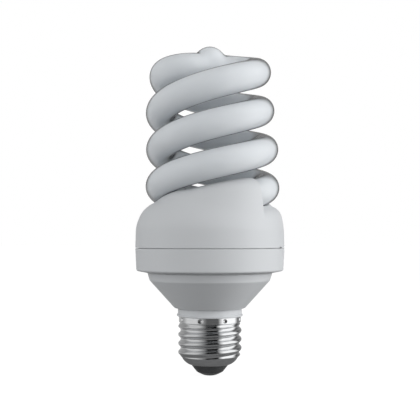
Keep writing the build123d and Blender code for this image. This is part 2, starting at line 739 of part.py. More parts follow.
def drum_winding():
    """Copper winding on the spool."""
    low = DRUM_FLANGE + FIT
    high = DRUM_H - low
    inner_r, outer_r = DRUM_CORE_R + FIT, DRUM_R - WINDING_INSET
    return placed(DRUM_AT) * turned((inner_r, low), (outer_r, low), (outer_r, high), (inner_r, high))


def smoothing_capacitor():
    """Electrolytic can that hangs from the board into the cone, its pins upwards."""
    top_z = BOARD_Z - 2 * FIT
    low_z = top_z - SMOOTHING_H
    groove_r = SMOOTHING_R - 2 * FIT
    crimp = top_z - SMOOTHING_R / 2
    can = turned(
        (0, low_z), (SMOOTHING_R, low_z), (SMOOTHING_R, crimp - 4 * FIT), (groove_r, crimp),
        (SMOOTHING_R, crimp + 4 * FIT), (SMOOTHING_R, top_z), (0, top_z),
        rounds=(((SMOOTHING_R, low_z), SMOOTHING_R / 8), ((SMOOTHING_R, top_z), SMOOTHING_R / 8)),
    )
    tips = [post(PIN_R, top_z - FIT, BOARD_TOP_Z + PIN_TAIL, x) for x, _ in row_spots(2, SMOOTHING_PIN_SPAN)]
    return Pos(*SMOOTHING_AT) * (can + tips)


# Wiring


def fusible_resistor():
    """Fusible resistor that stands in the neck, its lower lead in the contact's rivet."""
    body = post(FUSE_R, FUSE_Z, FUSE_Z + FUSE_L)
    body = fillet(body.edges().filter_by(GeomType.CIRCLE), FUSE_R / 4)
    return body + post(FUSE_LEAD_R, CONTACT_H + FIT, FUSE_Z + FUSE_L + FUSE_LEAD_L)


def wire_end(spot):
    """Last two corners of a wire that comes up through the board."""
    return [(*spot, BOARD_Z - 2 * WIRE_BEND_R), (*spot, BOARD_TOP_Z + PIN_TAIL)]


def live_wire():
    """Wire from the fusible resistor, past the smoothing capacitor, to the board."""
    start_z = FUSE_Z + FUSE_L + FUSE_LEAD_L + FIT
    corners = [(0, 0, start_z), (0, WIRE_D / 4, start_z + WIRE_BEND_R), *wire_end(LIVE_HOLE)]
    return swept(FilletPolyline(*corners, radius=WIRE_BEND_R), WIRE_D / 2)


def neutral_wire():
    """Wire from the cap's inner wall, under the neck's foot and up to the board."""
    heading = Vector(*NEUTRAL_HOLE).normalized()
    foot_z = NECK_FOOT_Z - FIT - WIRE_D / 2
    shell_r = THREAD_ROOT_R - CAP_WALL - 4 * FIT
    corners = [
        (heading * shell_r) + Vector(0, 0, foot_z),
        (heading * NEUTRAL_NECK_R) + Vector(0, 0, foot_z),
        (heading * NEUTRAL_NECK_R) + Vector(0, 0, CONE_Z),
        *wire_end(NEUTRAL_HOLE),
    ]
    return swept(FilletPolyline(*corners, radius=WIRE_D), WIRE_D / 2)


def tube_lead(side, number):
    """Bare lead from a leg's sealed end, down beside its post."""
    end = Vector(leg_point(LEG_END_TURN, side)) + Vector(COIL_SHIFT, 0, 0)
    onward = (end - Vector(leg_point(LEG_END_TURN + 1, side)) - Vector(COIL_SHIFT, 0, 0)).normalized()
    outward = Vector(end.X - COIL_SHIFT, end.Y, 0).normalized()
    start = end + outward * LEAD_SPREAD * (number - 0.5)
    spot = post_spots()[(0 if side < 0 else 2) + number]
    beside = spot - Vector(spot.X, spot.Y, 0).normalized() * (POST_W * sqrt(0.5) + LEAD_D / 2 + FIT)
    corners = [
        start + onward * 2 * FIT,
        start + onward * (LEAD_RUN + LEAD_SPREAD * (1 - number)),
        Vector(beside.X, beside.Y, BOARD_TOP_Z + POST_H + LEAD_SPREAD),
        Vector(beside.X, beside.Y, BOARD_TOP_Z + FIT),
    ]
    return swept(FilletPolyline(*corners, radius=LEAD_BEND_R), LEAD_D / 2)


def pieces():
    """Every piece of the lamp by its name."""
    cement = both_legs(tube_cement())
    found = {
        "spiral_tube": spiral_tube(),
        "tube_cover": tube_cover(),
        "ballast_housing": ballast_housing(),
        "screw_shell": screw_shell(),
        "cap_insulator": cap_insulator(),
        "centre_contact": centre_contact(),
        "front_tube_cement": cement[0],
        "rear_tube_cement": cement[1],
        "circuit_board": circuit_board(),
        "lead_posts": Compound(children=lead_posts()),
        "choke_core": choke_core(),
        "choke_bobbin": choke_bobbin(),
        "choke_winding": choke_winding(),
        "drive_toroid": drive_toroid(),
        "toroid_windings": Compound(children=toroid_windings()),
        "resonance_capacitor": film_capacitor(RESONANCE_AT),
        "coupling_capacitor": film_capacitor(COUPLING_AT),
        "filter_choke_core": drum_core(),
        "filter_choke_winding": drum_winding(),
        "smoothing_capacitor": smoothing_capacitor(),
        "diac": axial_part(DIAC_AT, DIAC_R, DIAC_L),
        "fusible_resistor": fusible_resistor(),
        "live_wire": live_wire(),
        "neutral_wire": neutral_wire(),
    }
    for number, place in enumerate(TRANSISTOR_PLACES, 1):
        found[f"transistor_{number}"] = transistor(place)
    for number, place in enumerate(DIODE_PLACES, 1):
        found[f"rectifier_diode_{number}"] = axial_part(place, DIODE_R, DIODE_L)
    for number, place in enumerate(RESISTOR_PLACES, 1):
        found[f"resistor_{number}"] = axial_part(place, RESISTOR_R, RESISTOR_L)
    for step, side in enumerate((-1, 1)):
        for number in (0, 1):
            found[f"tube_lead_{2 * step + number + 1}"] = tube_lead(side, number)
    return found


def main():
    """Write each piece to its own file."""
    os.makedirs("parts", exist_ok=True)
    for name, piece in pieces().items():
        export_step(piece, f"parts/{name}.step")


if __name__ == "__main__":
    main()
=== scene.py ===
import json
import logging
import math
from collections.abc import Callable
from dataclasses import dataclass
from enum import Enum

import bmesh
import bpy
import numpy as np
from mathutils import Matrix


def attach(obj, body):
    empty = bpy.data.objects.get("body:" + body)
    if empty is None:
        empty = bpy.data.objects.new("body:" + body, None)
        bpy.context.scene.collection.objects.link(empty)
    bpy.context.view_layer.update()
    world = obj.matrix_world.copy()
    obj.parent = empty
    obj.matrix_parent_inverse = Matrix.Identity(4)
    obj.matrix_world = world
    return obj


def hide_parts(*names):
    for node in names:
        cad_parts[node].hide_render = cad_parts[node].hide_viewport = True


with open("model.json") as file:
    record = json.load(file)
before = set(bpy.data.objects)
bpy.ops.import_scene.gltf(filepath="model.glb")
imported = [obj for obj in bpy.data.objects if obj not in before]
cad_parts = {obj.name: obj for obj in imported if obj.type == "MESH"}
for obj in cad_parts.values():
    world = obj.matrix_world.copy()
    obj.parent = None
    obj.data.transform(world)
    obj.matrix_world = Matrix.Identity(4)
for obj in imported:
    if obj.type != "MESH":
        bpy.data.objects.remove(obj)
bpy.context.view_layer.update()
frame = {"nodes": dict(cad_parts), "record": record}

LOG = logging.getLogger("spiral_lamp")
MM = 0.001
BODY = "root"
IMAGE_SIZE = 420
SENSOR = 36.0
SHARP_ANGLE = math.radians(32)
COVER_SHARP_ANGLE = math.radians(40)
CAP_SHARP_ANGLE = math.radians(50)
MERGE_GAP = 1e-7
SHORTEST_EDGE = 1e-8
DRIFT_DETAIL = 4.0
DRIFT_SPAN = (0.3, 0.7)
RELIEF_DETAIL = 3.0
WIRE_WANDER = 0.6
# Painted shade on the coated tube: facing range over which its colour darkens to the rim colour near its
# outline
FACING_BLEND = 0.5
EDGE_SHADE_FACING = (0.64, 0.90)
DRAWN_STRETCH = (1, 1, 9)
AIM = (0, 0, 0.075)


# Shared helpers for meshes


def smooth_max(first: np.ndarray, second: np.ndarray, reach: float) -> np.ndarray:
    """Larger of two fields, rounded off where they differ by less than a reach.

    Formula: the larger one plus (reach minus their difference), squared, over four reaches.

    Args:
        first: One field.
        second: The other field.
        reach: Difference at which the rounding starts.

    Returns:
        The rounded larger field.
    """
    overlap = np.maximum(reach - np.abs(first - second), 0)
    return np.maximum(first, second) + overlap**2 / (4 * reach)


def smooth_min(first: np.ndarray, second: np.ndarray, reach: float) -> np.ndarray:
    """Smaller of two fields, rounded off in the same way.

    Args:
        first: One field.
        second: The other field.
        reach: Difference at which the rounding starts.

    Returns:
        The rounded smaller field.
    """
    return -smooth_max(-first, -second, reach)


def halved(
    field: Callable[[np.ndarray], np.ndarray], low: np.ndarray, high: np.ndarray, times: int
) -> tuple[np.ndarray, np.ndarray]:
    """Closes in on the distances at which a field stops being negative.

    Formula: each span is cut in half, and the half over which the sign changes is kept.

    Args:
        field: Gives the field at a distance along each ray.
        low: Distances at which the field is negative.
        high: Distances at which it isn't.
        times: How often the spans are halved.

    Returns:
        Both ends of the last spans.
    """
    for _ in range(times):
        half = (low + high) / 2
        inside = field(half) < 0
        low, high = np.where(inside, half, low), np.where(inside, high, half)
    return low, high


def rounded_profile(corners: list[tuple[float, float, float]], steps: int = 7) -> np.ndarray:
    """Open outline through corners, each rounded by an arc of its own radius.

    Formula: the arc's ends lie radius times the tangent of half the turn from the corner, and its
    points are the circle's between those ends.

    Args:
        corners: Radius from the axis, height and rounding radius of each corner, in millimetres.
        steps: Points on each arc.

    Returns:
        Points of the outline, one row each.
    """
    places = np.array([corner[:2] for corner in corners], float)
    found = [places[:1]]
    for index in range(1, len(corners) - 1):
        before = places[index - 1] - places[index]
        after = places[index + 1] - places[index]
        before, after = before / np.linalg.norm(before), after / np.linalg.norm(after)
        opening = math.acos(float(np.clip(before @ after, -1, 1)))
        radius = corners[index][2]
        if radius <= 0 or abs(math.pi - opening) < 1e-3:
            found.append(places[index][None])
            continue
        middle = (before + after) / np.linalg.norm(before + after)
        centre = places[index] + middle * radius / math.sin(opening / 2)
        half = (math.pi - opening) / 2
        side = np.array([-middle[1], middle[0]])
        side = side if side @ after > 0 else -side
        swing = np.linspace(-half, half, steps)[:, None]
        found.append(centre - radius * np.cos(swing) * middle + radius * np.sin(swing) * side)
    found.append(places[-1:])
    return np.concatenate(found)


def refined(profile: np.ndarray, spacing: float) -> np.ndarray:
    """The same outline with extra points on its long runs.

    Args:
        profile: Points of the outline, one row each.
        spacing: Longest run that stays whole, in millimetres.

    Returns:
        Points of the outline.
    """
    runs = np.linalg.norm(np.diff(profile, axis=0), axis=1)
    along = np.concatenate([[0], np.cumsum(runs)])
    extra = np.linspace(0, along[-1], int(along[-1] / spacing) + 2)
    stations = np.unique(np.concatenate([along, extra]).round(4))
    return np.stack([np.interp(stations, along, profile[:, axis]) for axis in (0, 1)], 1)


class Piece:
    """One mesh of the lamp, built from grids of points in millimetres."""

    def __init__(self, name: str, slot: str, replaces: tuple[str, ...]) -> None:
        """Keeps what the piece is and starts its mesh.

        Args:
            name: The piece's name.
            slot: The record's material slot that its finish comes from.
            replaces: The nodes that it stands for.
        """
        self.name = name
        self.slot = slot
        self.replaces = replaces
        self.mesh = bmesh.new()

    def add_grid(self, points: np.ndarray, close_rows: bool = False, close_columns: bool = False) -> None:
        """Adds a surface whose points are a function of its row and its column.

        Args:
            points: Array of rows by columns by 3, in millimetres.
            close_rows: Whether the last row joins the first.
            close_columns: Whether the last column joins the first.
        """
        rows, columns = points.shape[:2]
        index = np.arange(rows * columns).reshape(rows, columns)
        if close_rows:
            index = np.concatenate([index, index[:1]])
        if close_columns:
            index = np.concatenate([index, index[:, :1]], axis=1)
        quads = np.stack([index[:-1, :-1], index[:-1, 1:], index[1:, 1:], index[1:, :-1]], -1)
        part = bpy.data.meshes.new(self.name)
        part.from_pydata((points.reshape(-1, 3) * MM).tolist(), [], quads.reshape(-1, 4).tolist())
        self.mesh.from_mesh(part)
        bpy.data.meshes.remove(part)

    def finish(self, material: bpy.types.Material, sharp: float = SHARP_ANGLE) -> None:
        """Closes seams and poles, turns the faces outwards and puts the piece in the scene.

        Args:
            material: The piece's finish.
            sharp: Angle between faces from which an edge shows as sharp, in radians.
        """
        bmesh.ops.remove_doubles(self.mesh, verts=self.mesh.verts, dist=MERGE_GAP)
        bmesh.ops.dissolve_degenerate(self.mesh, edges=self.mesh.edges, dist=SHORTEST_EDGE)
        bmesh.ops.recalc_face_normals(self.mesh, faces=self.mesh.faces)
        data = bpy.data.meshes.new(self.name)
        self.mesh.to_mesh(data)
        self.mesh.free()
        data.shade_smooth()
        data.set_sharp_from_angle(angle=sharp)
        data.materials.append(material)
        made = bpy.data.objects.new(self.name, data)
        bpy.context.scene.collection.objects.link(made)
        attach(made, BODY)
        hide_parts(*self.replaces)
        LOG.info("%s: %d faces", self.name, len(data.polygons))


def turned_grid(profile: np.ndarray, columns: int) -> np.ndarray:
    """Surface of revolution: each outline point is carried round the axis.

    Formula: x is the radius times the turn's cosine, y the radius times its sine.

    Args:
        profile: Radius and height of each outline point.
        columns: Points around the axis.

    Returns:
        Grid of outline points by columns by 3.
    """
    turn = np.linspace(0, 2 * np.pi, columns, endpoint=False)
    radius, height = profile[:, :1], profile[:, 1:]
    return np.stack(
        [radius * np.cos(turn), radius * np.sin(turn), height + np.zeros_like(turn)], -1
    )


# Finishes


class Pattern(Enum):
    """How the fine relief of a finish runs over the surface."""

    MOULDED = "moulded"
    DRAWN = "drawn"
    WOUND = "wound"


class Graph:
    """Shader nodes of one tree, and the links between them."""

    def __init__(self, tree: bpy.types.NodeTree) -> None:
        """Keeps the tree's nodes and links."""
        self.nodes, self.links = tree.nodes, tree.links

    def add(
        self, kind: str, values: dict[str | int, object] | None = None, **settings: object
    ) -> bpy.types.Node:
        """Adds a node.

        Args:
            kind: The node's type, without the words that all shader nodes share.
            values: Value of each input that is set.
            settings: The node's own settings.

        Returns:
            The node.
        """
        node = self.nodes.new("ShaderNode" + kind)
        for name, setting in settings.items():
            setattr(node, name, setting)
        for name, value in (values or {}).items():
            node.inputs[name].default_value = value
        return node

    def link(self, *rows: tuple) -> None:
        """Links an output to an input for each row of node, output, node and input."""
        for source, output, target, entry in rows:
            self.links.new(source.outputs[output], target.inputs[entry])


def node_group(name: str, inputs: dict[str, str], outputs: dict[str, str]) -> bpy.types.NodeTree:
    """Empty shader group with named sockets.

    Args:
        name: The group's name.
        inputs: Socket type of each input.
        outputs: Socket type of each output.

    Returns:
        The group, with its two end nodes named Inputs and Outputs.
    """
    group = bpy.data.node_groups.new(name, "ShaderNodeTree")
    for label, kind in inputs.items():
        group.interface.new_socket(name=label, in_out="INPUT", socket_type=kind)
    for label, kind in outputs.items():
        group.interface.new_socket(name=label, in_out="OUTPUT", socket_type=kind)
    group.nodes.new("NodeGroupInput").name = "Inputs"
    group.nodes.new("NodeGroupOutput").name = "Outputs"
    return group


def surface_group() -> bpy.types.NodeTree:
    """Colour drift, roughness drift and fine relief that every finish uses.

    Returns:
        The group with the outputs Colour, Roughness and Height.
    """
    number, tint, vector = "NodeSocketFloat", "NodeSocketColor", "NodeSocketVector"
    group = node_group(
        "surface_variation",
        {
            "Vector": vector, "Light colour": tint, "Dark colour": tint, "Drift scale": number,
            "Relief scale": number, "Smoothest": number, "Roughest": number,
        },
        {"Colour": tint, "Roughness": number, "Height": number},
    )
    graph = Graph(group)
    source, sink = group.nodes["Inputs"], group.nodes["Outputs"]
    drift = graph.add("TexNoise", {"Detail": DRIFT_DETAIL})
    relief = graph.add("TexNoise", {"Detail": RELIEF_DETAIL})
    blend = graph.add("Mix", data_type="RGBA")
    span = graph.add("MapRange")
    low, high = DRIFT_SPAN
    spread = graph.add("MapRange", {"From Min": low, "From Max": high})
    graph.link(
        (source, "Vector", drift, "Vector"), (source, "Drift scale", drift, "Scale"),
        (source, "Vector", relief, "Vector"), (source, "Relief scale", relief, "Scale"),
        (drift, "Fac", spread, "Value"), (spread, "Result", blend, "Factor"),
        (source, "Light colour", blend, "A"), (source, "Dark colour", blend, "B"),
        (relief, "Fac", span, "Value"), (source, "Smoothest", span, "To Min"),
        (source, "Roughest", span, "To Max"), (blend, "Result", sink, "Colour"),
        (span, "Result", sink, "Roughness"), (relief, "Fac", sink, "Height"),
    )
    return group


@dataclass(frozen=True)
class Finish:
    """A surface finish, built as a procedural material."""

    name: str
    light: tuple[float, float, float]
    dark: tuple[float, float, float]
    roughness: tuple[float, float] = (0.35, 0.45)
    metallic: float = 0.0
    specular: float = 0.5
    coat: float = 0.0
    relief_mm: float = 0.01
    relief_scale: float = 2500.0
    drift_scale: float = 60.0
    pattern: Pattern = Pattern.MOULDED
    # colour of the painted edge shade along the outline, or None for none
    rim: tuple[float, float, float] | None = None
    glow_mm: float = 0.0

    def material(self, group: bpy.types.NodeTree) -> bpy.types.Material:
        """Builds the material.

        Args:
            group: The shared group of colour drift and relief.

        Returns:
            The material.
        """
        made = bpy.data.materials.new(self.name)
        made.use_nodes = True
        graph = Graph(made.node_tree)
        shader = graph.nodes["Principled BSDF"]
        fixed = {
            "Metallic": self.metallic, "Specular IOR Level": self.specular, "Coat Weight": self.coat,
            "Subsurface Weight": 1.0 if self.glow_mm else 0.0, "Subsurface Radius": (1.0, 1.0, 1.0),
            "Subsurface Scale": self.glow_mm * MM,
        }
        for name, value in fixed.items():
            shader.inputs[name].default_value = value
        place = graph.add("TexCoord")
        stretch = graph.add(
            "Mapping", {"Scale": DRAWN_STRETCH if self.pattern is Pattern.DRAWN else (1, 1, 1)}
        )
        surface = graph.add("Group", {
            "Light colour": (*self.light, 1), "Dark colour": (*self.dark, 1),
            "Drift scale": self.drift_scale, "Relief scale": self.relief_scale,
            "Smoothest": self.roughness[0], "Roughest": self.roughness[1],
        }, node_tree=group)
        bump = graph.add("Bump", {"Distance": self.relief_mm * MM, "Strength": 1.0})
        graph.link(
            (place, "Object", stretch, "Vector"), (stretch, "Vector", surface, "Vector"),
            (surface, "Roughness", shader, "Roughness"), (bump, "Normal", shader, "Normal"),
        )
        self.link_height(graph, surface, bump, stretch)
        self.link_colour(graph, surface, shader)
        return made

    def link_height(
        self, graph: Graph, surface: bpy.types.Node, bump: bpy.types.Node, stretch: bpy.types.Node
    ) -> None:
        """Feeds the relief: fine grain, or the round backs of wound wire.

        Args:
            graph: The material's nodes.
            surface: The shared group's node.
            bump: The node that turns height into relief.
            stretch: The node that gives the place on the surface.
        """
        if self.pattern is not Pattern.WOUND:
            graph.link((surface, "Height", bump, "Height"))
            return
        wire = graph.add(
            "TexWave", {"Scale": self.relief_scale, "Distortion": WIRE_WANDER},
            wave_type="BANDS", bands_direction="Z", wave_profile="SIN",
        )
        graph.link((stretch, "Vector", wire, "Vector"), (wire, "Fac", bump, "Height"))

    def link_colour(self, graph: Graph, surface: bpy.types.Node, shader: bpy.types.Node) -> None:
        """Feeds the colour; where the surface is seen edge on, painted shade mixes in the rim colour,
        standing in for the unlit side of the white coat seen through the glass.

        Args:
            graph: The material's nodes.
            surface: The shared group's node.
            shader: The material's shader.
        """
        if self.rim is None:
            graph.link((surface, "Colour", shader, "Base Color"))
            return
        low, high = EDGE_SHADE_FACING
        facing = graph.add("LayerWeight", {"Blend": FACING_BLEND})
        edge = graph.add("MapRange", {"From Min": low, "From Max": high}, interpolation_type="SMOOTHSTEP")
        # painted shade: the dark rim colour mixed into the base colour by facing
        glass = graph.add("Mix", {"B": (*self.rim, 1)}, data_type="RGBA")
        graph.link(
            (facing, "Facing", edge, "Value"), (edge, "Result", glass, "Factor"),
            (surface, "Colour", glass, "A"), (glass, "Result", shader, "Base Color"),
        )


def grey(value: float, warmth: float = 0.0) -> tuple[float, float, float]:
    """Neutral colour of a linear value, a little warmer or cooler."""
    return (value * (1 + warmth), value, value * (1 - warmth))


FINISHES = {
    "tube_glass": Finish(
        "coated_glass", grey(0.64, -0.04), grey(0.62, -0.04), (0.20, 0.26), specular=0.35,
        # rim is the dark colour of the painted edge shade along the tube's outline
        relief_mm=0.004, relief_scale=180, drift_scale=45, rim=grey(0.03, -0.02), glow_mm=18.0,
    ),
    "white_plastic": Finish(
        "white_housing_plastic", grey(0.58, -0.025), grey(0.56, -0.025), (0.38, 0.50), specular=0.35,
        relief_mm=0.012, relief_scale=2600, drift_scale=38,
    ),
    "nickel_plate": Finish(
        "nickel_plated_cap", grey(0.64, -0.012), grey(0.56, -0.012), (0.06, 0.11), 1.0,
        relief_mm=0.004, relief_scale=420, drift_scale=240, pattern=Pattern.DRAWN,
    ),
    "black_glass": Finish(
        "black_cap_glass", grey(0.07, -0.03), grey(0.05, -0.03), (0.12, 0.22), relief_mm=0.02,
        relief_scale=700, drift_scale=300,
    ),
    "contact_metal": Finish(
        "tinned_contact", grey(0.27, -0.02), grey(0.19, -0.02), (0.26, 0.40), 0.8, relief_mm=0.03,
        relief_scale=600, drift_scale=420,
    ),
    "white_cement": Finish(
        "tube_cement", grey(0.74, 0.02), grey(0.62, 0.03), (0.75, 0.95), relief_mm=0.12,
        relief_scale=1400, drift_scale=500,
    ),
    "board_laminate": Finish(
        "paper_laminate", (0.50, 0.33, 0.15), (0.40, 0.25, 0.10), (0.45, 0.60), relief_mm=0.02,
        relief_scale=1800, drift_scale=260,
    ),
    "tinned_metal": Finish(
        "tinned_wire", grey(0.62), grey(0.48), (0.25, 0.38), 1.0, relief_mm=0.02, relief_scale=1500,
        drift_scale=900,
    ),
    "ferrite": Finish(
        "sintered_ferrite", grey(0.055), grey(0.035), (0.55, 0.75), relief_mm=0.03, relief_scale=3200,
        drift_scale=900,
    ),
    "bobbin_plastic": Finish(
        "bobbin_nylon", grey(0.05), grey(0.035), (0.40, 0.52), relief_mm=0.012, relief_scale=2400,
        drift_scale=400,
    ),
    "enamelled_copper": Finish(
        "enamelled_wire", (0.60, 0.22, 0.08), (0.42, 0.14, 0.05), (0.22, 0.34), 0.8, relief_mm=0.12,
        relief_scale=420, drift_scale=700, pattern=Pattern.WOUND,
    ),
    "film_green": Finish(
        "green_film_coating", (0.04, 0.20, 0.07), (0.03, 0.15, 0.05), (0.20, 0.30), coat=0.3,
        relief_mm=0.05, relief_scale=500, drift_scale=300,
    ),
    "film_red": Finish(
        "red_film_coating", (0.32, 0.05, 0.03), (0.24, 0.035, 0.02), (0.20, 0.30), coat=0.3,
        relief_mm=0.05, relief_scale=500, drift_scale=300,
    ),
    "capacitor_sleeve": Finish(
        "shrunk_sleeve", (0.02, 0.03, 0.06), (0.015, 0.02, 0.045), (0.22, 0.32), relief_mm=0.02,
        relief_scale=600, drift_scale=300,
    ),
    "epoxy_black": Finish(
        "moulded_epoxy", grey(0.035), grey(0.025), (0.45, 0.60), relief_mm=0.015, relief_scale=4000,
        drift_scale=900,
    ),
    "diac_glass": Finish(
        "blue_bead_glass", (0.05, 0.13, 0.36), (0.04, 0.10, 0.28), (0.10, 0.18), coat=0.4,
        relief_mm=0.01, relief_scale=900, drift_scale=900,
    ),
    "resistor_body": Finish(
        "resistor_lacquer", (0.56, 0.42, 0.25), (0.48, 0.35, 0.20), (0.35, 0.48), relief_mm=0.02,
        relief_scale=1600, drift_scale=900,
    ),
    "fuse_sleeve": Finish(
        "woven_sleeve", grey(0.52, 0.06), grey(0.42, 0.07), (0.60, 0.80), relief_mm=0.08,
        relief_scale=2200, drift_scale=900,
    ),
    "wire_insulation": Finish(
        "wire_insulation", grey(0.40), grey(0.34), (0.38, 0.50), relief_mm=0.01, relief_scale=2000,
        drift_scale=500,
    ),
}


# The spiral tube


@dataclass(frozen=True)
class Coil:
    """Centre line of the tube's two legs, in millimetres and degrees."""

    radius: float = 22.2
    closing: float = 2.9
    pitch: float = 31.1
    shift: float = 1.1
    top_z: float = 124.4
    end_turn: float = -640.0
    side_turn: float = -540.0
    tuck: float = 3.0
    bridge_turn: float = 3.0
    bridge_bend: float = 7.4
    bridge_z: float = 127.2
    bridge_lift: float = 0.15
    bridge_skew: float = 0.55
    lean_start_z: float = 77.5
    lean_radius: float = 800.0
    sway_z: float = 117.0
    sway: float = 0.45
    sway_soft: float = 6.0
    sway_start: tuple[float, float] = (95.0, 12.0)
    smoothing: int = 17

    def leg_radius(self, turn: np.ndarray) -> np.ndarray:
        """Radius of a leg: it halves its closing every half turn down, and tucks in at its end."""
        tuck = np.clip((self.side_turn - turn) / (self.side_turn - self.end_turn), 0, 1)
        return self.radius - self.closing * 2 ** (np.minimum(turn, 0) / 180) - self.tuck * tuck**1.5

    def leg_height(self, turn: np.ndarray) -> np.ndarray:
        """Height of a leg: a steady climb of one pitch each turn."""
        return self.top_z + self.pitch * turn / 360

    def slope(self, turn: float) -> float:
        """Rise of a leg for each millimetre round the axis."""
        return self.pitch / (2 * math.pi * float(self.leg_radius(np.array(turn))))

    def leaned(self, points: np.ndarray) -> np.ndarray:
        """Bends the coil slightly to one side above its foot, with a small sway back near its top.

        Formula: the height above the start becomes an angle about a centre that lies one lean radius
        to the left, and a hyperbolic tangent of the height adds the sway.

        Args:
            points: Points of the upright coil, one row each.

        Returns:
            The same points of the bent coil.
        """
        x, y, z = points.T
        swing = np.maximum(z - self.lean_start_z, 0) / self.lean_radius
        reach = x + self.lean_radius
        level = np.minimum(z, self.lean_start_z)
        start, run = self.sway_start
        sway = self.sway * np.tanh((z - self.sway_z) / self.sway_soft) * np.clip((z - start) / run, 0, 1)
        across = reach * np.cos(swing) - self.lean_radius + self.shift + sway
        return np.stack([across, y, level + reach * np.sin(swing)], 1)

    def half_bridge(self, step: float) -> tuple[np.ndarray, np.ndarray, np.ndarray]:
        """Plan of half the bridge: an arc from the leg's top, then its tangent to the axis.

        Formula: the arc's centre lies one bend radius inside the leg, and the arc ends where the
        line to the axis touches it.

        Args:
            step: Distance between points, in millimetres.

        Returns:
            Distance run, x and y of each point after the leg's last.
        """
        top_radius = self.radius - self.closing
        away = top_radius - self.bridge_bend
        sweep = math.pi - math.acos(self.bridge_bend / away)
        angle = np.linspace(0, sweep, int(self.bridge_bend * sweep / step))[1:]
        bend = np.stack([away + self.bridge_bend * np.cos(angle), self.bridge_bend * np.sin(angle)], 1)
        straight = math.sqrt(away**2 - self.bridge_bend**2)
        share = np.linspace(0, 1, int(straight / step))[1:]
        plan = np.concatenate([bend, bend[-1] * (1 - share[:, None])])
        run = np.concatenate([self.bridge_bend * angle, self.bridge_bend * sweep + straight * share])
        start = math.radians(self.bridge_turn)
        x = plan[:, 0] * math.cos(start) - plan[:, 1] * math.sin(start)
        y = plan[:, 0] * math.sin(start) + plan[:, 1] * math.cos(start)
        return run, x, y

    def half_line(self, side: int, step: float = 0.55) -> np.ndarray:
        """Leg and half the bridge.

        Formula: a leg's point turns about the axis at its radius and height. Over the bridge the
        height eases from the leg's climb to level by a cubic. The bridge is skewed: its right half
        swells and its left half sags.

        Args:
            side: 1 for the leg whose top is on the right, -1 for the other, half a turn away.
            step: Distance between points, in millimetres.

        Returns:
            Points from the leg's sealed end to the axis, one row each.
        """
        top_radius = self.radius - self.closing
        count = int(math.radians(self.bridge_turn - self.end_turn) * top_radius / step)
        turn = np.linspace(self.end_turn, self.bridge_turn, count)
        radius = self.leg_radius(turn)
        run, x, y = self.half_bridge(step)
        foot = float(self.leg_height(np.array(self.bridge_turn)))
        climb = self.pitch / (2 * math.pi * top_radius) * run[-1]
        share = run / run[-1]
        eased = foot + (self.bridge_z - foot) * share**2 * (3 - 2 * share) + climb * share * (1 - share) ** 2
        swell = (self.bridge_lift + side * self.bridge_skew) * np.sin(np.pi * share) ** 2
        x = np.concatenate([radius * np.cos(np.radians(turn)), x])
        y = np.concatenate([radius * np.sin(np.radians(turn)), y])
        z = np.concatenate([self.leg_height(turn), eased + swell])
        return self.leaned(np.stack([side * x, side * y, z], 1))

    def whole_line(self) -> np.ndarray:
        """Centre line from one sealed end to the other.

        Formula: a running mean, weighted by one wave of a cosine, smooths out the small kinks.

        Returns:
            Points of the line, one row each.
        """
        line = np.concatenate([self.half_line(1), self.half_line(-1)[-2::-1]])
        kernel = np.hanning(self.smoothing)
        kernel /= kernel.sum()
        pad = len(kernel) // 2
        soft = np.stack([np.convolve(line[:, axis], kernel, "same") for axis in range(3)], 1)
        soft[:pad], soft[-pad:] = line[:pad], line[-pad:]
        return soft


